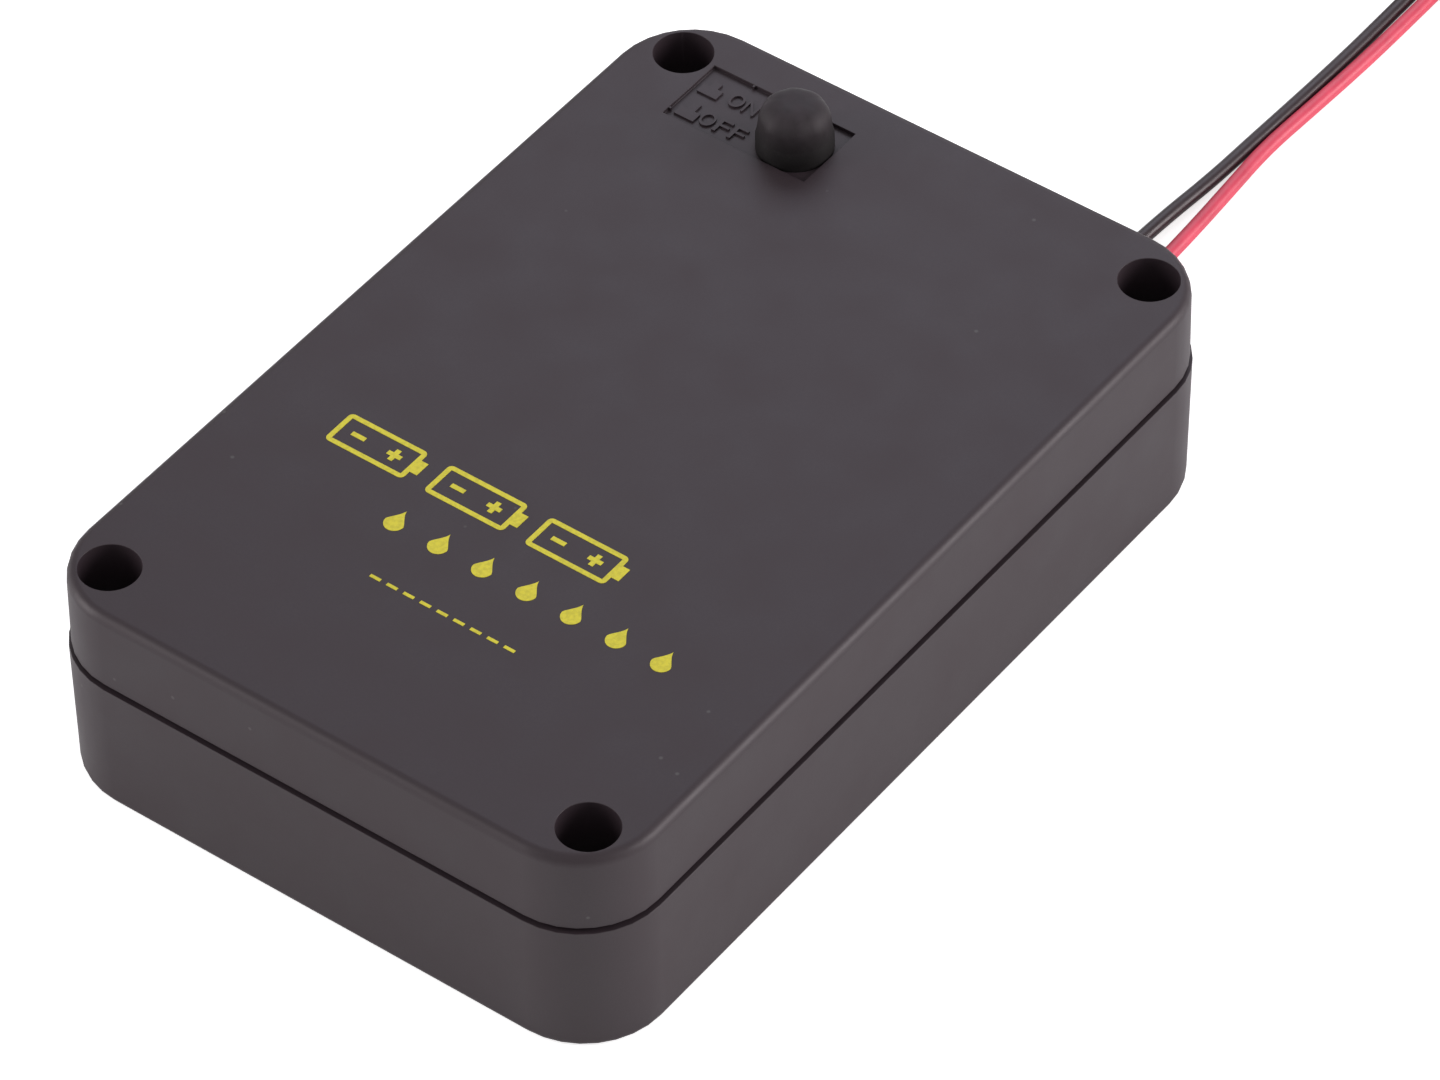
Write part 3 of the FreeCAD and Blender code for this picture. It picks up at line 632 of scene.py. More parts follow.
class StageOperator(bpy.types.Operator):
    """The pale table, its soft lights and the camera"""

    bl_idname = "battery_holder.stage"
    bl_label = "Table, Lights and Camera"

    camera_place = mm(323.439, -414.837, 533.732)
    camera_aim = mm(7.69, 1.697, 11.8)
    camera_roll = -0.7605
    camera_lens = 205.568
    camera_sensor = 36
    camera_near = 0.01
    camera_far = 20
    table_size = 6
    seen_glow = 0.7
    gloss_glow = 0.24
    lamps = {
        "lamp_rear": {"place": (-0.15, 0.34, 0.3), "aim": (0, 0.02, 0.02), "width": 0.36, "height": 0.2,
                      "power": 0.42, "colour": (0.84, 0.85, 1.0)},
        "lamp_right": {"place": (0.61, 0.37, 0.26), "aim": (0, 0, 0.01), "width": 0.4, "height": 0.4,
                       "power": 3.7, "colour": (1.0, 0.93, 0.95)},
        "lamp_left": {"place": (-0.5, -0.42, 0.2), "aim": (0, 0, 0.01), "width": 0.2, "height": 0.5,
                      "power": 2.3, "colour": (1.0, 0.93, 0.95)},
    }

    def lamp(self, name, place, aim, width, height, power, colour):
        """A soft rectangular lamp that points at a place."""
        deselect()
        bpy.ops.object.light_add(type="AREA", location=place)
        light = named(name)
        light.data.shape = "RECTANGLE"
        light.data.size = width
        light.data.size_y = height
        light.data.energy = power
        light.data.color = colour
        light.rotation_mode = "QUATERNION"
        light.rotation_quaternion = (Vector(aim) - Vector(place)).to_track_quat("-Z", "Y")

    def floor(self):
        """A wide table whose own paleness gives the white background and keeps the shadow."""
        deselect()
        bpy.ops.mesh.primitive_plane_add(size=self.table_size)
        piece = named("table")
        colour = tuple(settings().floor_colour)
        material, tree, shader = surface("table", colour, roughness=0.8, specular=0.0)
        rays = add_node(tree, "LightPath")
        gloss = calculated(tree, "MULTIPLY", rays.outputs["Is Glossy Ray"], self.gloss_glow)
        glow = calculated(tree, "MULTIPLY_ADD", rays.outputs["Is Camera Ray"], self.seen_glow, gloss)
        feed(tree, shader.inputs["Emission Color"], (1, 1, 1))
        feed(tree, shader.inputs["Emission Strength"], glow)
        piece.data.materials.append(material)

    def world(self):
        """Even white light, which shows at full strength only to the camera."""
        world = bpy.data.worlds.new("studio")
        bpy.context.scene.world = world
        world.use_nodes = True
        tree = world.node_tree
        background = tree.nodes["Background"]
        rays = add_node(tree, "LightPath")
        strength = spread(tree, rays.outputs["Is Camera Ray"], settings().world_strength, 1, low=0, high=1)
        feed(tree, background.inputs["Color"], (1, 1, 1))
        feed(tree, background.inputs["Strength"], strength)

    def camera(self):
        """The photograph's view."""
        deselect()
        bpy.ops.object.camera_add(location=self.camera_place)
        camera = named("camera")
        camera.data.lens = self.camera_lens
        camera.data.sensor_width = self.camera_sensor
        camera.data.clip_start = self.camera_near
        camera.data.clip_end = self.camera_far
        look = (self.camera_aim - self.camera_place).to_track_quat("-Z", "Y")
        roll = Matrix.Rotation(math.radians(self.camera_roll), 3, "Z").to_quaternion()
        camera.rotation_mode = "QUATERNION"
        camera.rotation_quaternion = look @ roll
        bpy.context.scene.camera = camera

    def execute(self, context):
        context.scene.view_settings.view_transform = "Standard"
        self.floor()
        self.world()
        self.camera()
        for name, values in self.lamps.items():
            self.lamp(name, **values)
        return {"FINISHED"}


class LeadsOperator(bpy.types.Operator):
    """The two leads outside the case, with their coils and tinned ends"""

    bl_idname = "battery_holder.leads"
    bl_label = "Leads"

    strands = 7
    strand_twist = 1.5
    strand_steps = 28

    def coil(self, end, turn):
        """Points of the flat coil that a lead ends in, wound inwards.

        turn is 1 for a coil left of the lead's end, and -1 for one right of it.
        """
        centre = Vector((end.x - turn * COIL_OUTER, COIL_Y, LYING_Z))
        points = []
        for step in range(1, round(COIL_TURNS * COIL_POINTS) + 1):
            turns = step / COIL_POINTS
            angle = 2 * math.pi * turns
            radius = COIL_OUTER - COIL_PITCH * turns
            points.append(centre + Vector((turn * radius * math.cos(angle), radius * math.sin(angle), 0)))
        return centre, points

    def tip(self, name, centre, turn, material):
        """The bare end: thin tinned strands twisted round each other along a short bend."""
        angle = 2 * math.pi * COIL_TURNS
        reach = COIL_OUTER - COIL_PITCH * COIL_TURNS - TIP_BEND
        hub = centre + Vector((turn * reach * math.cos(angle), reach * math.sin(angle), 0))
        strand_radius = TIP_RADIUS / 3
        made = []
        for n in range(self.strands):
            points = []
            for step in range(self.strand_steps + 1):
                share = step / self.strand_steps
                bend = angle + share * TIP_LENGTH / TIP_BEND
                out = Vector((turn * math.cos(bend), math.sin(bend), 0))
                phase = 2 * math.pi * (n / (self.strands - 1) + self.strand_twist * share)
                aside = 0 if n == self.strands - 1 else TIP_RADIUS - strand_radius
                points.append(hub + out * (TIP_BEND + aside * math.cos(phase))
                              + Vector((0, 0, aside * math.sin(phase))))
            made.append(wire(f"{name}_{n}", points, strand_radius, sides=8, smooth=2))
        piece = join(made, name)
        finish(piece, material, "tinned_copper", "base", name.replace("strands", "tip"))
        return piece

    def execute(self, context):
        tin = metal_surface("tinned_strands", (0.75, 0.74, 0.71), roughness=0.32)
        leads = (
            ("black", BLACK_ROUTE, 1, tuple(settings().black_lead_colour)),
            ("red", RED_ROUTE, -1, tuple(settings().red_lead_colour)),
        )
        for colour_name, route, turn, colour in leads:
            centre, turns = self.coil(route[-1], turn)
            points = route + [Vector((route[-1].x, COIL_Y, LYING_Z))] + turns
            lead = round_line(f"{colour_name}_lead_cord", points, LEAD_RADIUS, sides=24, smooth=12)
            lead.data.materials.append(vinyl_surface(f"{colour_name}_vinyl", colour))
            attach(lead, "base")
            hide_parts(f"{colour_name}_lead", f"{colour_name}_lead_coil")
            tip = self.tip(f"{colour_name}_lead_strands", centre, turn, tin)
        return {"FINISHED"}


class CaseOperator(bpy.types.Operator):
    """The two moulded case halves with softened rims"""

    bl_idname = "battery_holder.case"
    bl_label = "Case"

    most_corners = 60

    def execute(self, context):
        material = case_surface()
        edge = settings().case_edge
        finish(node_copy("upper_case", "cover_shell", edge), material, "case_plastic", "cover", "upper_case")
        base = node_copy("lower_case", "base_shell", edge, most_corners=self.most_corners)
        finish(base, material, "case_plastic", "base", "lower_case")
        grommet = node_copy("lead_grommet", "outlet_grommet", edge)
        rubber = rubber_surface("grommet_rubber", (0.022, 0.021, 0.022))
        finish(grommet, rubber, "seal_rubber", "base", "lead_grommet")
        return {"FINISHED"}


class MarksOperator(bpy.types.Operator):
    """The raised words and signs beside the switch, and two small ribs at the panel's rim"""

    bl_idname = "battery_holder.marks"
    bl_label = "Switch Marks"

    sink = 0.05 * MM
    on_place = mm(-18.45, 39.7, 0)
    off_place = mm(-19.1, 36.05, 0)
    letter_pitch = 1.72 * MM
    letter_widths = {"O": 1.52 * MM, "N": 1.4 * MM, "F": 1.4 * MM}
    letter_weight = 0.01 * MM
    on_icon = mm(-22.35, 38.65, 0)
    off_icon = mm(-22.25, 34.95, 0)
    icon_width = 2.2 * MM
    icon_shoulder = 0.66 * MM
    icon_foot = 1.2 * MM
    on_rise = 0.8 * MM
    off_rise = 1.1 * MM
    left_rib = mm(-23.0, 35.18, 0)
    rear_rib = mm(-18.27, 42.3, 0)
    rib_half = 0.1 * MM
    rib_reach = 0.32 * MM

    def letter(self, text, place, height):
        """One raised letter, centred on a place of the panel and as wide as its kind."""
        deselect()
        bpy.ops.object.text_add()
        made = bpy.context.object
        made.data.body = text
        made.data.size = settings().letter_height
        made.data.extrude = (height + self.sink) / 2
        made.data.offset = self.letter_weight
        made.data.resolution_u = 8
        made = as_mesh(made)
        low = [min(vertex.co[axis] for vertex in made.data.vertices) for axis in (0, 1)]
        high = [max(vertex.co[axis] for vertex in made.data.vertices) for axis in (0, 1)]
        wide = self.letter_widths[text] / (high[0] - low[0])
        tall = settings().letter_height / (high[1] - low[1])
        made.scale = (wide, tall, 1)
        made.location = (place.x - wide * (low[0] + high[0]) / 2, place.y - tall * (low[1] + high[1]) / 2,
                         PANEL_Z + (height - self.sink) / 2)
        return fix_place(made)

    def word(self, text, place, height):
        """A raised word whose first letter is centred on a place of the panel."""
        return [self.letter(sign, place + Vector((n * self.letter_pitch, 0, 0)), height)
                for n, sign in enumerate(text)]

    def icon(self, place, rise, height):
        """A button seen from the side: a broad foot and a narrower top, which rises by a given height."""
        low = PANEL_Z - self.sink
        high = PANEL_Z + height
        middle = place.y + self.icon_foot
        foot = block("foot", (place.x, place.y, low), (place.x + self.icon_width, middle, high))
        top = block("top", (place.x + self.icon_shoulder, middle, low),
                    (place.x + self.icon_width - self.icon_shoulder, middle + rise, high))
        return [foot, top]

    def ribs(self):
        """Two narrow ribs that bridge the step down to the panel."""
        left, rear = self.left_rib, self.rear_rib
        half, reach = self.rib_half, self.rib_reach
        low = PANEL_Z - self.sink
        high = TOP_Z - self.sink
        return [
            block("rib", (left.x, left.y - half, low), (left.x + reach, left.y + half, high)),
            block("rib", (rear.x - half, rear.y - reach, low), (rear.x + half, rear.y, high)),
        ]

    def execute(self, context):
        height = settings().mark_height
        pieces = self.word("ON", self.on_place, height)
        pieces += self.word("OFF", self.off_place, height)
        pieces += self.icon(self.on_icon, self.on_rise, height)
        pieces += self.icon(self.off_icon, self.off_rise, height)
        pieces += self.ribs()
        marks = join(pieces, "switch_marks")
        weld(marks)
        shade(marks)
        finish(marks, bpy.data.materials[f"{PREFIX}_case"], "case_plastic", "cover")
        return {"FINISHED"}


class PolarityOperator(bpy.types.Operator):
    """The polarity signs raised on the floors of the three cell bays"""

    bl_idname = "battery_holder.polarity"
    bl_label = "Polarity Signs"

    floor_z = 2.0 * MM
    sign_height = 0.3 * MM
    sign_half = 1.7 * MM
    sign_line = 0.3 * MM
    sink = 0.05 * MM
    # Each bay's middle, the places of its front and rear sign, and which way its cell points
    bays = (
        (-15.3 * MM, -29.0 * MM, 11.0 * MM, 1),
        (0.0, -33.0 * MM, 7.0 * MM, -1),
        (15.3 * MM, -29.0 * MM, 11.0 * MM, 1),
    )

    def bar(self, x, y, half_x, half_y):
        """One raised stroke centred on a place of the floor."""
        return block("stroke", (x - half_x, y - half_y, self.floor_z - self.sink),
                     (x + half_x, y + half_y, self.floor_z + self.sign_height), self.sink)

    def minus(self, x, y):
        """A minus sign."""
        return [self.bar(x, y, self.sign_half, self.sign_line)]

    def plus(self, x, y):
        """A plus sign, whose upright stroke stands in two halves on its level one."""
        reach = (self.sign_half - self.sign_line) / 2
        aside = self.sign_line + reach
        return self.minus(x, y) + [self.bar(x, y + way * aside, self.sign_line, reach) for way in (-1, 1)]

    def execute(self, context):
        strokes = []
        for x, front_y, rear_y, way in self.bays:
            low_y, high_y = (front_y, rear_y) if way > 0 else (rear_y, front_y)
            strokes += self.minus(x, low_y) + self.plus(x, high_y)
        signs = join(strokes, "polarity_signs")
        shade(signs)
        finish(signs, bpy.data.materials[f"{PREFIX}_case"], "case_plastic", "base")
        return {"FINISHED"}


class PrintOperator(bpy.types.Operator):
    """The yellow pattern printed on the cover: cells with their signs, drops and a row of short dashes"""

    bl_idname = "battery_holder.print"
    bl_label = "Cover Print"

    cell_count = 3
    cell_width = 9.6 * MM
    cell_height = 4.0 * MM
    cell_gap = 1.6 * MM
    cell_line = 0.5 * MM
    cell_corner = 0.5 * MM
    corner_steps = 5
    nub_width = 0.8 * MM
    nub_height = 1.7 * MM
    cells_left = -21.3 * MM
    cells_low = -18.2 * MM
    sign_reach = 0.75 * MM
    minus_share = 0.27
    plus_share = 0.73
    drop_count = 7
    drop_radius = 1.0 * MM
    drop_sides = 32
    drop_power = 1.5
    drop_narrowing = 0.98
    drop_stretch = 0.75
    drop_pitch = 4.9 * MM
    drops_left = -9.6 * MM
    drops_y = -22.9 * MM
    dash_count = 9
    dash_width = 1.15 * MM
    dash_height = 0.34 * MM
    dash_pitch = 1.85 * MM
    dashes_left = -7.3 * MM
    dashes_y = -29.4 * MM

    def bar(self, x0, x1, y0, y1):
        """A filled rectangle of ink, half sunk in the cover."""
        thick = settings().print_thickness
        return block("bar", (x0, y0, TOP_Z - thick), (x1, y1, TOP_Z + thick))

    def frame_of_ink(self, x0, x1, y0, y1):
        """A rectangle with round corners, as an outline."""
        thick = settings().print_thickness
        deselect()
        bpy.ops.mesh.primitive_plane_add(size=1, location=((x0 + x1) / 2, (y0 + y1) / 2, TOP_Z - thick))
        piece = named("cell")
        piece.scale = (x1 - x0, y1 - y0, 1)
        fix_place(piece)
        edit(piece)
        bpy.ops.mesh.bevel(offset=self.cell_corner, segments=self.corner_steps, affect="VERTICES")
        bpy.ops.mesh.select_all(action="SELECT")
        bpy.ops.mesh.inset(thickness=self.cell_line)
        bpy.ops.mesh.delete(type="ONLY_FACE")
        bpy.ops.mesh.select_all(action="SELECT")
        bpy.ops.mesh.extrude_region_move(TRANSFORM_OT_translate={"value": (0, 0, 2 * thick)})
        done(outward=True)
        return piece

    def minus(self, x, y):
        """A minus sign centred on a place of the cover."""
        half = self.cell_line / 2
        return self.bar(x - self.sign_reach, x + self.sign_reach, y - half, y + half)

    def plus(self, x, y):
        """A plus sign in three bars."""
        half = self.cell_line / 2
        return [
            self.minus(x, y),
            self.bar(x - half, x + half, y + half, y + self.sign_reach),
            self.bar(x - half, x + half, y - self.sign_reach, y - half),
        ]

    def cell(self, x, y):
        """A cell from its lower left corner: an outline, the nub at its end and both signs."""
        body = self.cell_width - self.nub_width
        middle = y + self.cell_height / 2
        half = self.nub_height / 2
        return [
            self.frame_of_ink(x, x + body, y, y + self.cell_height),
            self.bar(x + body, x + self.cell_width, middle - half, middle + half),
            self.minus(x + body * self.minus_share, middle),
            *self.plus(x + body * self.plus_share, middle),
        ]

    def drop(self, x, y):
        """A round drop drawn out to a point at its top."""
        deselect()
        bpy.ops.mesh.primitive_cylinder_add(vertices=self.drop_sides, radius=self.drop_radius,
                                            depth=2 * settings().print_thickness, location=(x, y, TOP_Z))
        piece = fix_place(named("drop"))
        for vertex in piece.data.vertices:
            rise = max(0.0, (vertex.co.y - y) / self.drop_radius)
            vertex.co.x = x + (vertex.co.x - x) * (1 - rise**self.drop_power * self.drop_narrowing)
            vertex.co.y += self.drop_stretch * self.drop_radius * rise**2
        return piece

    def dash(self, x, y):
        """A short dash from its lower left corner."""
        return self.bar(x, x + self.dash_width, y, y + self.dash_height)

    def execute(self, context):
        pieces = []
        for n in range(self.cell_count):
            pieces += self.cell(self.cells_left + n * (self.cell_width + self.cell_gap), self.cells_low)
        for n in range(self.drop_count):
            pieces.append(self.drop(self.drops_left + n * self.drop_pitch, self.drops_y))
        for n in range(self.dash_count):
            pieces.append(self.dash(self.dashes_left + n * self.dash_pitch, self.dashes_y))
        finish(join(pieces, "cover_print"), ink_surface(), "case_plastic", "cover")
        return {"FINISHED"}


class BootOperator(bpy.types.Operator):
    """The rubber boot over the push button, and the parts that it hides"""

    bl_idname = "battery_holder.boot"
    bl_label = "Button Boot"

    segments = 64
    band_radius = 3.69 * MM
    band_height = 1.5 * MM
    ledge_height = 0.55 * MM
    ledge_round = 0.015 * MM
    sleeve_foot = 0.2 * MM
    sleeve_radius = 3.52 * MM
    shoulder_radius = 3.4 * MM
    shoulder_height = 3.3 * MM
    crown_radius = 0.9 * MM
    bore_radius = 2.7 * MM
    wall = 0.8 * MM
    neck_radius = 3.4 * MM
    flange_radius = 5.2 * MM
    flange_thickness = 1.0 * MM
    flange_edge = 0.1 * MM
    dome_steps = 9
    facets = 8
    facet_depth = 0.1 * MM
    facet_turn = 0.5
    facet_start = 1.2 * MM
    facet_fade = 1.6 * MM
    crown_margin = 0.009 * MM
    sharp_angle = 50
    # Heights over the panel between which the painted shade round the boot's foot fades out
    painted_shade_low = 1.6 * MM
    painted_shade_high = 4.8 * MM
    squash_keep = 0.67

    def dome(self, radius, straight, top, steps):
        """Profile points over the shoulder, from the sleeve to the flat crown."""
        made = []
        for step in range(steps + 1):
            angle = math.pi / 2 * step / steps
            made.append((self.crown_radius + (radius - self.crown_radius) * math.cos(angle),
                         straight + (top - straight) * math.sin(angle)))
        return made

    def press_facets(self, boot, shoulder_z):
        """Presses soft facets into the dome, which fade in from below the shoulder and leave the crown."""
        for vertex in boot.data.vertices:
            x, y = vertex.co.x, vertex.co.y
            share = min(1.0, max(0.0, (vertex.co.z - shoulder_z + self.facet_start) / self.facet_fade))
            radius = math.hypot(x, y)
            if share and radius > self.crown_radius + self.crown_margin:
                wave = abs(math.cos(self.facets / 2 * math.atan2(y, x) + self.facet_turn))
                give = 1 - share * self.facet_depth * (1 - wave) / radius
                vertex.co.x *= give
                vertex.co.y *= give

    def seat(self, piece):
        """Moves a piece made about the Z axis to the boot's place."""
        piece.location = (BOOT_X, BOOT_Y, 0)
        return fix_place(piece)

    def boot(self, z):
        """The hollow dome above the panel at height z."""
        ledge_z = z + self.band_height
        sleeve_z = ledge_z + self.ledge_height
        shoulder_z = z + self.shoulder_height
        crown_z = z + BOOT_HEIGHT
        outer = [
            (self.band_radius, z),
            (self.band_radius, z + self.band_height / 2),
            (self.band_radius - self.ledge_round, ledge_z),
            (self.sleeve_radius + self.ledge_round, sleeve_z),
            (self.sleeve_radius, sleeve_z + self.sleeve_foot),
        ]
        outer += self.dome(self.shoulder_radius, shoulder_z, crown_z, self.dome_steps)
        inner = [(self.bore_radius, z)]
        inner += self.dome(self.bore_radius, shoulder_z - self.wall / 2, crown_z - self.wall, self.dome_steps)
        boot = turned("boot_dome", inner[::-1] + outer, self.segments)
        self.press_facets(boot, shoulder_z)
        return shade(self.seat(boot), self.sharp_angle)

    def flange(self, z):
        """The neck through the panel at height z, and the flange clamped under the cover."""
        foot_z = CEILING_Z - self.flange_thickness
        flange = turned("boot_flange", [
            (self.bore_radius, z),
            (self.bore_radius, foot_z),
            (self.flange_radius - self.flange_edge, foot_z),
            (self.flange_radius, foot_z + self.flange_edge),
            (self.flange_radius, CEILING_Z),
            (self.neck_radius, CEILING_Z),
            (self.neck_radius, z),
        ], self.segments, closed=True)
        return shade(self.seat(flange))

    def execute(self, context):
        z = PANEL_Z
        # Painted shade: the boot is darkened round its foot, fully up to the lower height and fading out by
        # the higher one
        foot = (tuple(settings().boot_foot_shade_colour), z + self.painted_shade_low, z + self.painted_shade_high)
        rubber = rubber_surface("boot_rubber", tuple(settings().boot_colour), foot=foot)
        boot = finish(self.boot(z), rubber, "boot_rubber", "cover", "button_boot")
        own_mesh(boot)
        finish(self.flange(z), rubber, "boot_rubber", "cover")
        return {"FINISHED"}


class ScrewsOperator(bpy.types.Operator):
    """The four case screws with cross recesses and coarse threads"""

    bl_idname = "battery_holder.screws"
    bl_label = "Case Screws"

    head_radius = 2.65 * MM
    head_height = 1.6 * MM
    # The head's outline: how far in from its radius, and how far up from its underside
    head_outline = (
        (0.08 * MM, 0),
        (0, 0.08 * MM),
        (0, 0.75 * MM),
        (0.12 * MM, 1.1 * MM),
        (0.42 * MM, 1.38 * MM),
        (0.95 * MM, 1.54 * MM),
        (1.6 * MM, head_height),
    )
    head_sides = 48
    shank_radius = 1.2 * MM
    shank_sides = 32
    shank_sink = 0.02 * MM
    screw_length = 12.0 * MM
    point_length = 1.6 * MM
    point_round = 0.35 * MM
    point_shares = (0.86, 0.6)
    recess_half = 0.42 * MM
    recess_reach = 1.5 * MM
    recess_depth = 0.9 * MM
    recess_taper = 0.62
    recess_above = 0.5 * MM
    crest_radius = 1.45 * MM
    thread_sink = 0.1 * MM
    thread_half = 0.3
    thread_end = 0.8 * MM
    thread_steps = 20
    # In degrees, so that the four recesses lie differently
    first_turn = 23
    next_turn = 41

    def head(self):
        """The round head with its cross recess."""
        outline = [(self.shank_radius, 0)]
        outline += [(self.head_radius - inset, height) for inset, height in self.head_outline]
        head = turned("screw_head", outline, self.head_sides)
        low = self.head_height - self.recess_depth
        high = self.head_height + self.recess_above
        arms = ((self.recess_reach, self.recess_half), (self.recess_half, self.recess_reach))
        cutters = [block("recess", (-reach, -half, low), (reach, half, high)) for reach, half in arms]
        for cutter in cutters:
            for vertex in cutter.data.vertices:
                if vertex.co.z < self.head_height:
                    vertex.co.x *= self.recess_taper
                    vertex.co.y *= self.recess_taper
        for cutter in cutters:
            modify(head, "BOOLEAN", operation="DIFFERENCE", object=cutter, solver="EXACT")
            bpy.data.objects.remove(cutter)
        return head

    def shank(self):
        """The plain shank with its blunt point."""
        low = -self.screw_length
        shoulder, end = self.point_shares
        return turned("screw_shank", [
            (self.shank_radius, self.shank_sink),
            (self.shank_radius, low + self.point_length),
            (self.shank_radius * shoulder, low + self.point_round),
            (self.shank_radius * end, low),
        ], self.shank_sides)

    def thread(self):
        """The coarse thread as one ridge wound round the shank."""
        pitch = settings().thread_pitch
        run = self.screw_length - self.point_length - self.thread_end
        turns = run / pitch
        steps = round(turns * self.thread_steps)
        root = self.shank_radius - self.thread_sink
        half = self.thread_half * pitch
        mesh = bpy.data.meshes.new("thread")
        mesh.from_pydata([(root, 0, -half), (self.crest_radius, 0, 0), (root, 0, half)],
                         [(0, 1), (1, 2), (2, 0)], [])
        ridge = bpy.data.objects.new("thread", mesh)
        bpy.context.scene.collection.objects.link(ridge)
        ridge.location = (0, 0, self.point_length - self.screw_length)
        modify(ridge, "SCREW", angle=2 * math.pi * turns, screw_offset=run, steps=steps, render_steps=steps,
               use_merge_vertices=True)
        fix_place(ridge)
        edit(ridge)
        bpy.ops.mesh.fill_holes(sides=0)
        done(outward=True)
        return ridge

    def model(self):
        """One screw about the Z axis, with its head's underside at zero."""
        return shade(join([self.head(), self.shank(), self.thread()], "case_screw_1"), SHARP_ANGLE)

    def execute(self, context):
        steel = metal_surface("screw_steel", (0.22, 0.21, 0.21), roughness=0.38)
        low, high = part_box("case_screws")
        seat_z = low.z + self.screw_length
        first = self.model()
        screws = [first]
        for n in (2, 3, 4):
            activate(first)
            bpy.ops.object.duplicate()
            screws.append(named(f"case_screw_{n}"))
        places = [(x, y) for x in (low.x + self.head_radius, high.x - self.head_radius)
                  for y in (low.y + self.head_radius, high.y - self.head_radius)]
        for n, (screw, (x, y)) in enumerate(zip(screws, places)):
            screw.rotation_euler = (0, 0, math.radians(self.first_turn + self.next_turn * n))
            screw.location = (x, y, seat_z)
            fix_place(screw)
            finish(screw, steel, "screw_steel", "cover", "case_screws")
        return {"FINISHED"}


class SpringsOperator(bpy.types.Operator):
    """The conical contact springs of round wire"""

    bl_idname = "battery_holder.springs"
    bl_label = "Contact Springs"

    wire_radius = 0.35 * MM
    narrow_share = 0.52
    rise_power = 1.35
    steps = 20

    def execute(self, context):
        metal = metal_surface("spring_wire", (0.72, 0.71, 0.68), roughness=0.24)
        for n in (1, 2, 3):
            low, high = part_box(f"spring_{n}")
            middle = (low + high) / 2
            wide = (high.z - low.z) / 2 - self.wire_radius
            narrow = wide * self.narrow_share
            at_front = middle.y < 0
            start_y, end_y = (low.y, high.y) if at_front else (high.y, low.y)
            toward = 1 if at_front else -1
            base_y = start_y + toward * self.wire_radius
            rise = (end_y - start_y) - toward * 2 * self.wire_radius
            turns = settings().spring_turns
            count = round(turns * self.steps)
            points = []
            for step in range(count + 1):
                share = step / count
                angle = 2 * math.pi * turns * share
                radius = wide + (narrow - wide) * share
                lift = share**self.rise_power
                points.append(Vector((middle.x + radius * math.cos(angle), base_y + rise * lift,
                                      middle.z + radius * math.sin(angle))))
            spring = wire(f"contact_spring_{n}", points, self.wire_radius, sides=16, smooth=3)
            finish(spring, metal, "spring_metal", "base", f"spring_{n}")
        return {"FINISHED"}


class WiringOperator(bpy.types.Operator):
    """The wires inside the case and their soldered joints"""

    bl_idname = "battery_holder.wiring"
    bl_label = "Inner Wiring"

    plate_joint = 1.0 * MM
    pin_joint = 0.85 * MM
    joint_shape = (1.0, 0.75, 0.8)
    joint_waver = 0.02

    def joint(self, name, place, radius):
        """A small mound of solder."""
        deselect()
        bpy.ops.mesh.primitive_uv_sphere_add(segments=20, ring_count=12, radius=radius, location=place)
        piece = named(name)
        piece.scale = self.joint_shape
        fix_place(piece)
        source = random.Random(name)
        waver = self.joint_waver
        for vertex in piece.data.vertices:
            vertex.co += Vector([source.uniform(-waver, waver) * radius for _ in range(3)])
        activate(piece)
        bpy.ops.object.shade_smooth()
        return piece

    def execute(self, context):
        black = bpy.data.materials[f"{PREFIX}_black_vinyl"]
        red = bpy.data.materials[f"{PREFIX}_red_vinyl"]
        solder = metal_surface("solder", (0.66, 0.65, 0.63), roughness=0.3)
        routes = (
            ("black_lead_inner", "inner_wire_black", black, "lead_black", BLACK_INNER),
            ("red_lead_inner", "inner_wire_red", red, "lead_red", RED_INNER),
            ("switch_wire", "inner_wire_switch", red, "lead_red", SWITCH_INNER),
        )
        for node, name, material, slot, points in routes:
            piece = wire(name, points, LEAD_RADIUS, sides=20, smooth=10)
            finish(piece, material, slot, "base", node)
        joints = join([
            self.joint("negative_joint", BLACK_INNER[0], self.plate_joint),
            self.joint("positive_joint", SWITCH_INNER[0], self.plate_joint),
            self.joint("left_pin_joint", SWITCH_INNER[-1], self.pin_joint),
            self.joint("right_pin_joint", RED_INNER[0], self.pin_joint),
        ], "solder_joints")
        finish(joints, solder, "tinned_copper", "base")
        return {"FINISHED"}


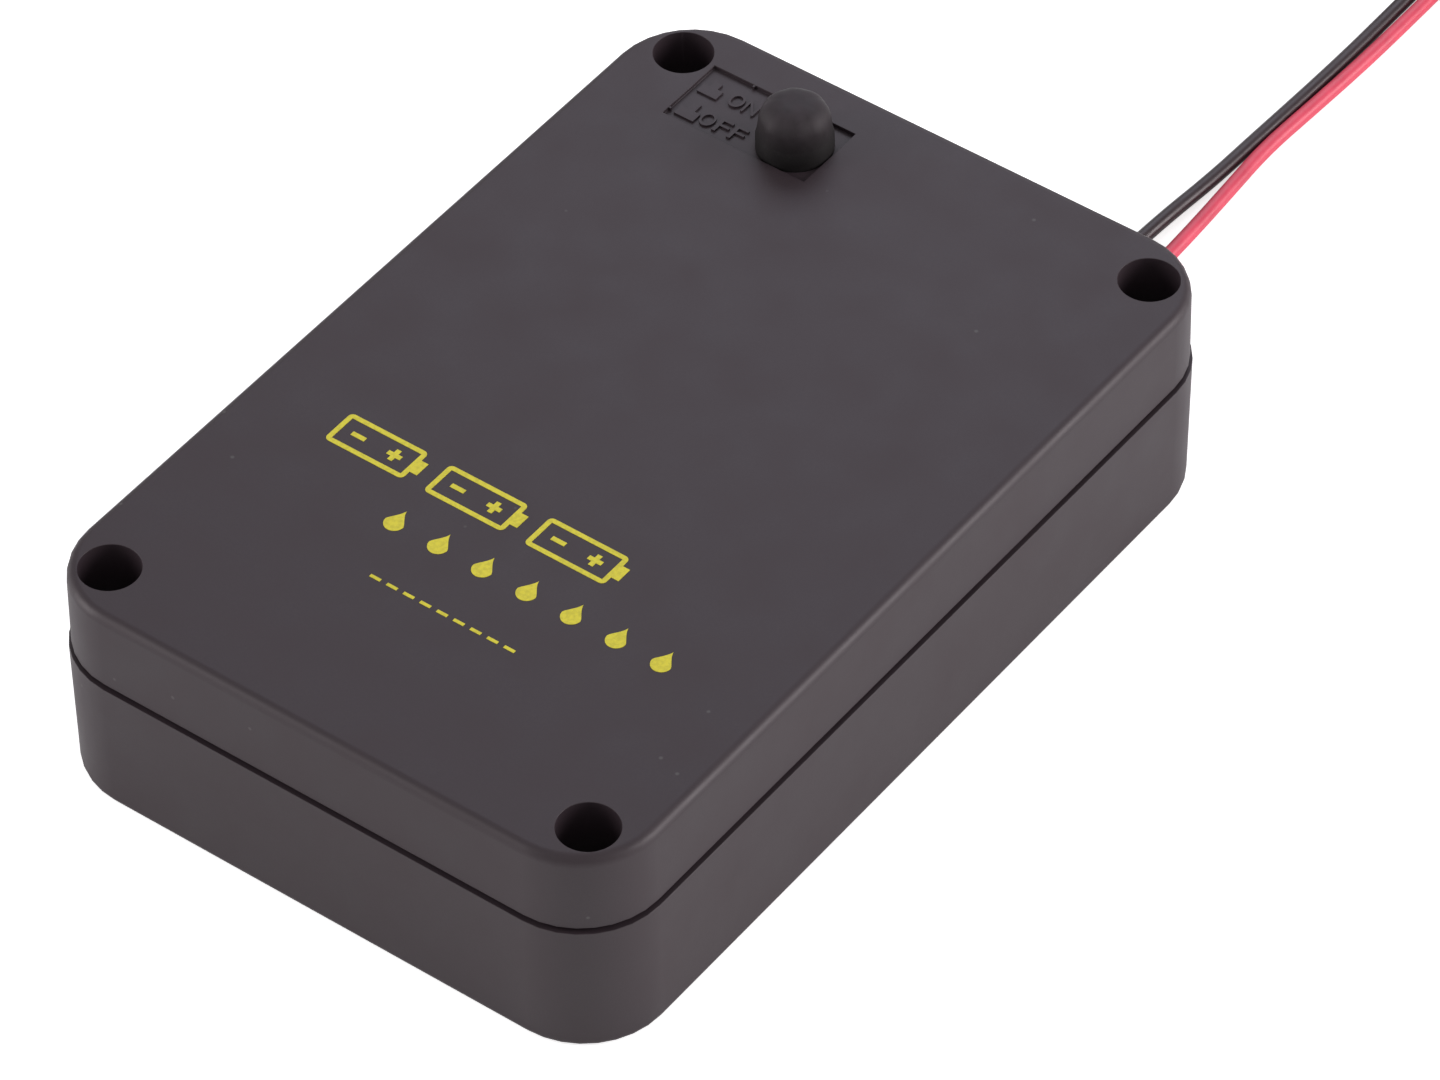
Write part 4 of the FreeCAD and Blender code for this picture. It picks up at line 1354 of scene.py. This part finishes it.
class InnerOperator(bpy.types.Operator):
    """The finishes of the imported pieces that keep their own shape"""

    bl_idname = "battery_holder.inner"
    bl_label = "Inner Pieces"

    def execute(self, context):
        nickel = metal_surface("nickel", (0.74, 0.72, 0.68), roughness=0.42)
        tin = metal_surface("tinned_pin", (0.75, 0.74, 0.71), roughness=0.35)
        switch = plain_plastic("switch_plastic", (0.03, 0.03, 0.033), roughness=0.42)
        cap = plain_plastic("cap_plastic", (0.5, 0.05, 0.04), roughness=0.4)
        retainer = plain_plastic("retainer_plastic", (0.07, 0.07, 0.07), roughness=0.5)
        seal = rubber_surface("seal_rubber", (0.02, 0.02, 0.02))
        finishes = {
            "front_negative_plate": nickel,
            "front_link_plate": nickel,
            "rear_link_plate": nickel,
            "rear_positive_plate": nickel,
            "switch_terminals": tin,
            "switch_base": switch,
            "switch_body": switch,
            "switch_plunger": switch,
            "button_cap": cap,
            "boot_retainer": retainer,
            "seal_ring": seal,
        }
        for node, material in finishes.items():
            nodes[node].material_slots[0].material = material
        return {"FINISHED"}


class HolderPanel(bpy.types.Panel):
    """The steps and the sizes in the 3D view's sidebar"""

    bl_idname = "VIEW3D_PT_battery_holder"
    bl_label = "Battery Holder"
    bl_space_type = "VIEW_3D"
    bl_region_type = "UI"
    bl_category = "Battery Holder"

    def draw(self, context):
        for operator in OPERATORS:
            self.layout.operator(operator.bl_idname)
        for name in HolderSettings.__annotations__:
            self.layout.prop(settings(), name)


OPERATORS = (
    StageOperator,
    LeadsOperator,
    CaseOperator,
    MarksOperator,
    PolarityOperator,
    PrintOperator,
    BootOperator,
    ScrewsOperator,
    SpringsOperator,
    WiringOperator,
    InnerOperator,
)


def register():
    """Adds the settings, the operators and the panel."""
    bpy.utils.register_class(HolderSettings)
    bpy.types.Scene.battery_holder = bpy.props.PointerProperty(type=HolderSettings)
    for operator in OPERATORS:
        bpy.utils.register_class(operator)
    bpy.utils.register_class(HolderPanel)


def unregister():
    """Takes them away again."""
    bpy.utils.unregister_class(HolderPanel)
    for operator in reversed(OPERATORS):
        bpy.utils.unregister_class(operator)
    del bpy.types.Scene.battery_holder
    bpy.utils.unregister_class(HolderSettings)


def main():
    """Builds the whole scene."""
    register()
    for operator in OPERATORS:
        group, name = operator.bl_idname.split(".")
        getattr(getattr(bpy.ops, group), name)()


if __name__ == "__main__":
    main()
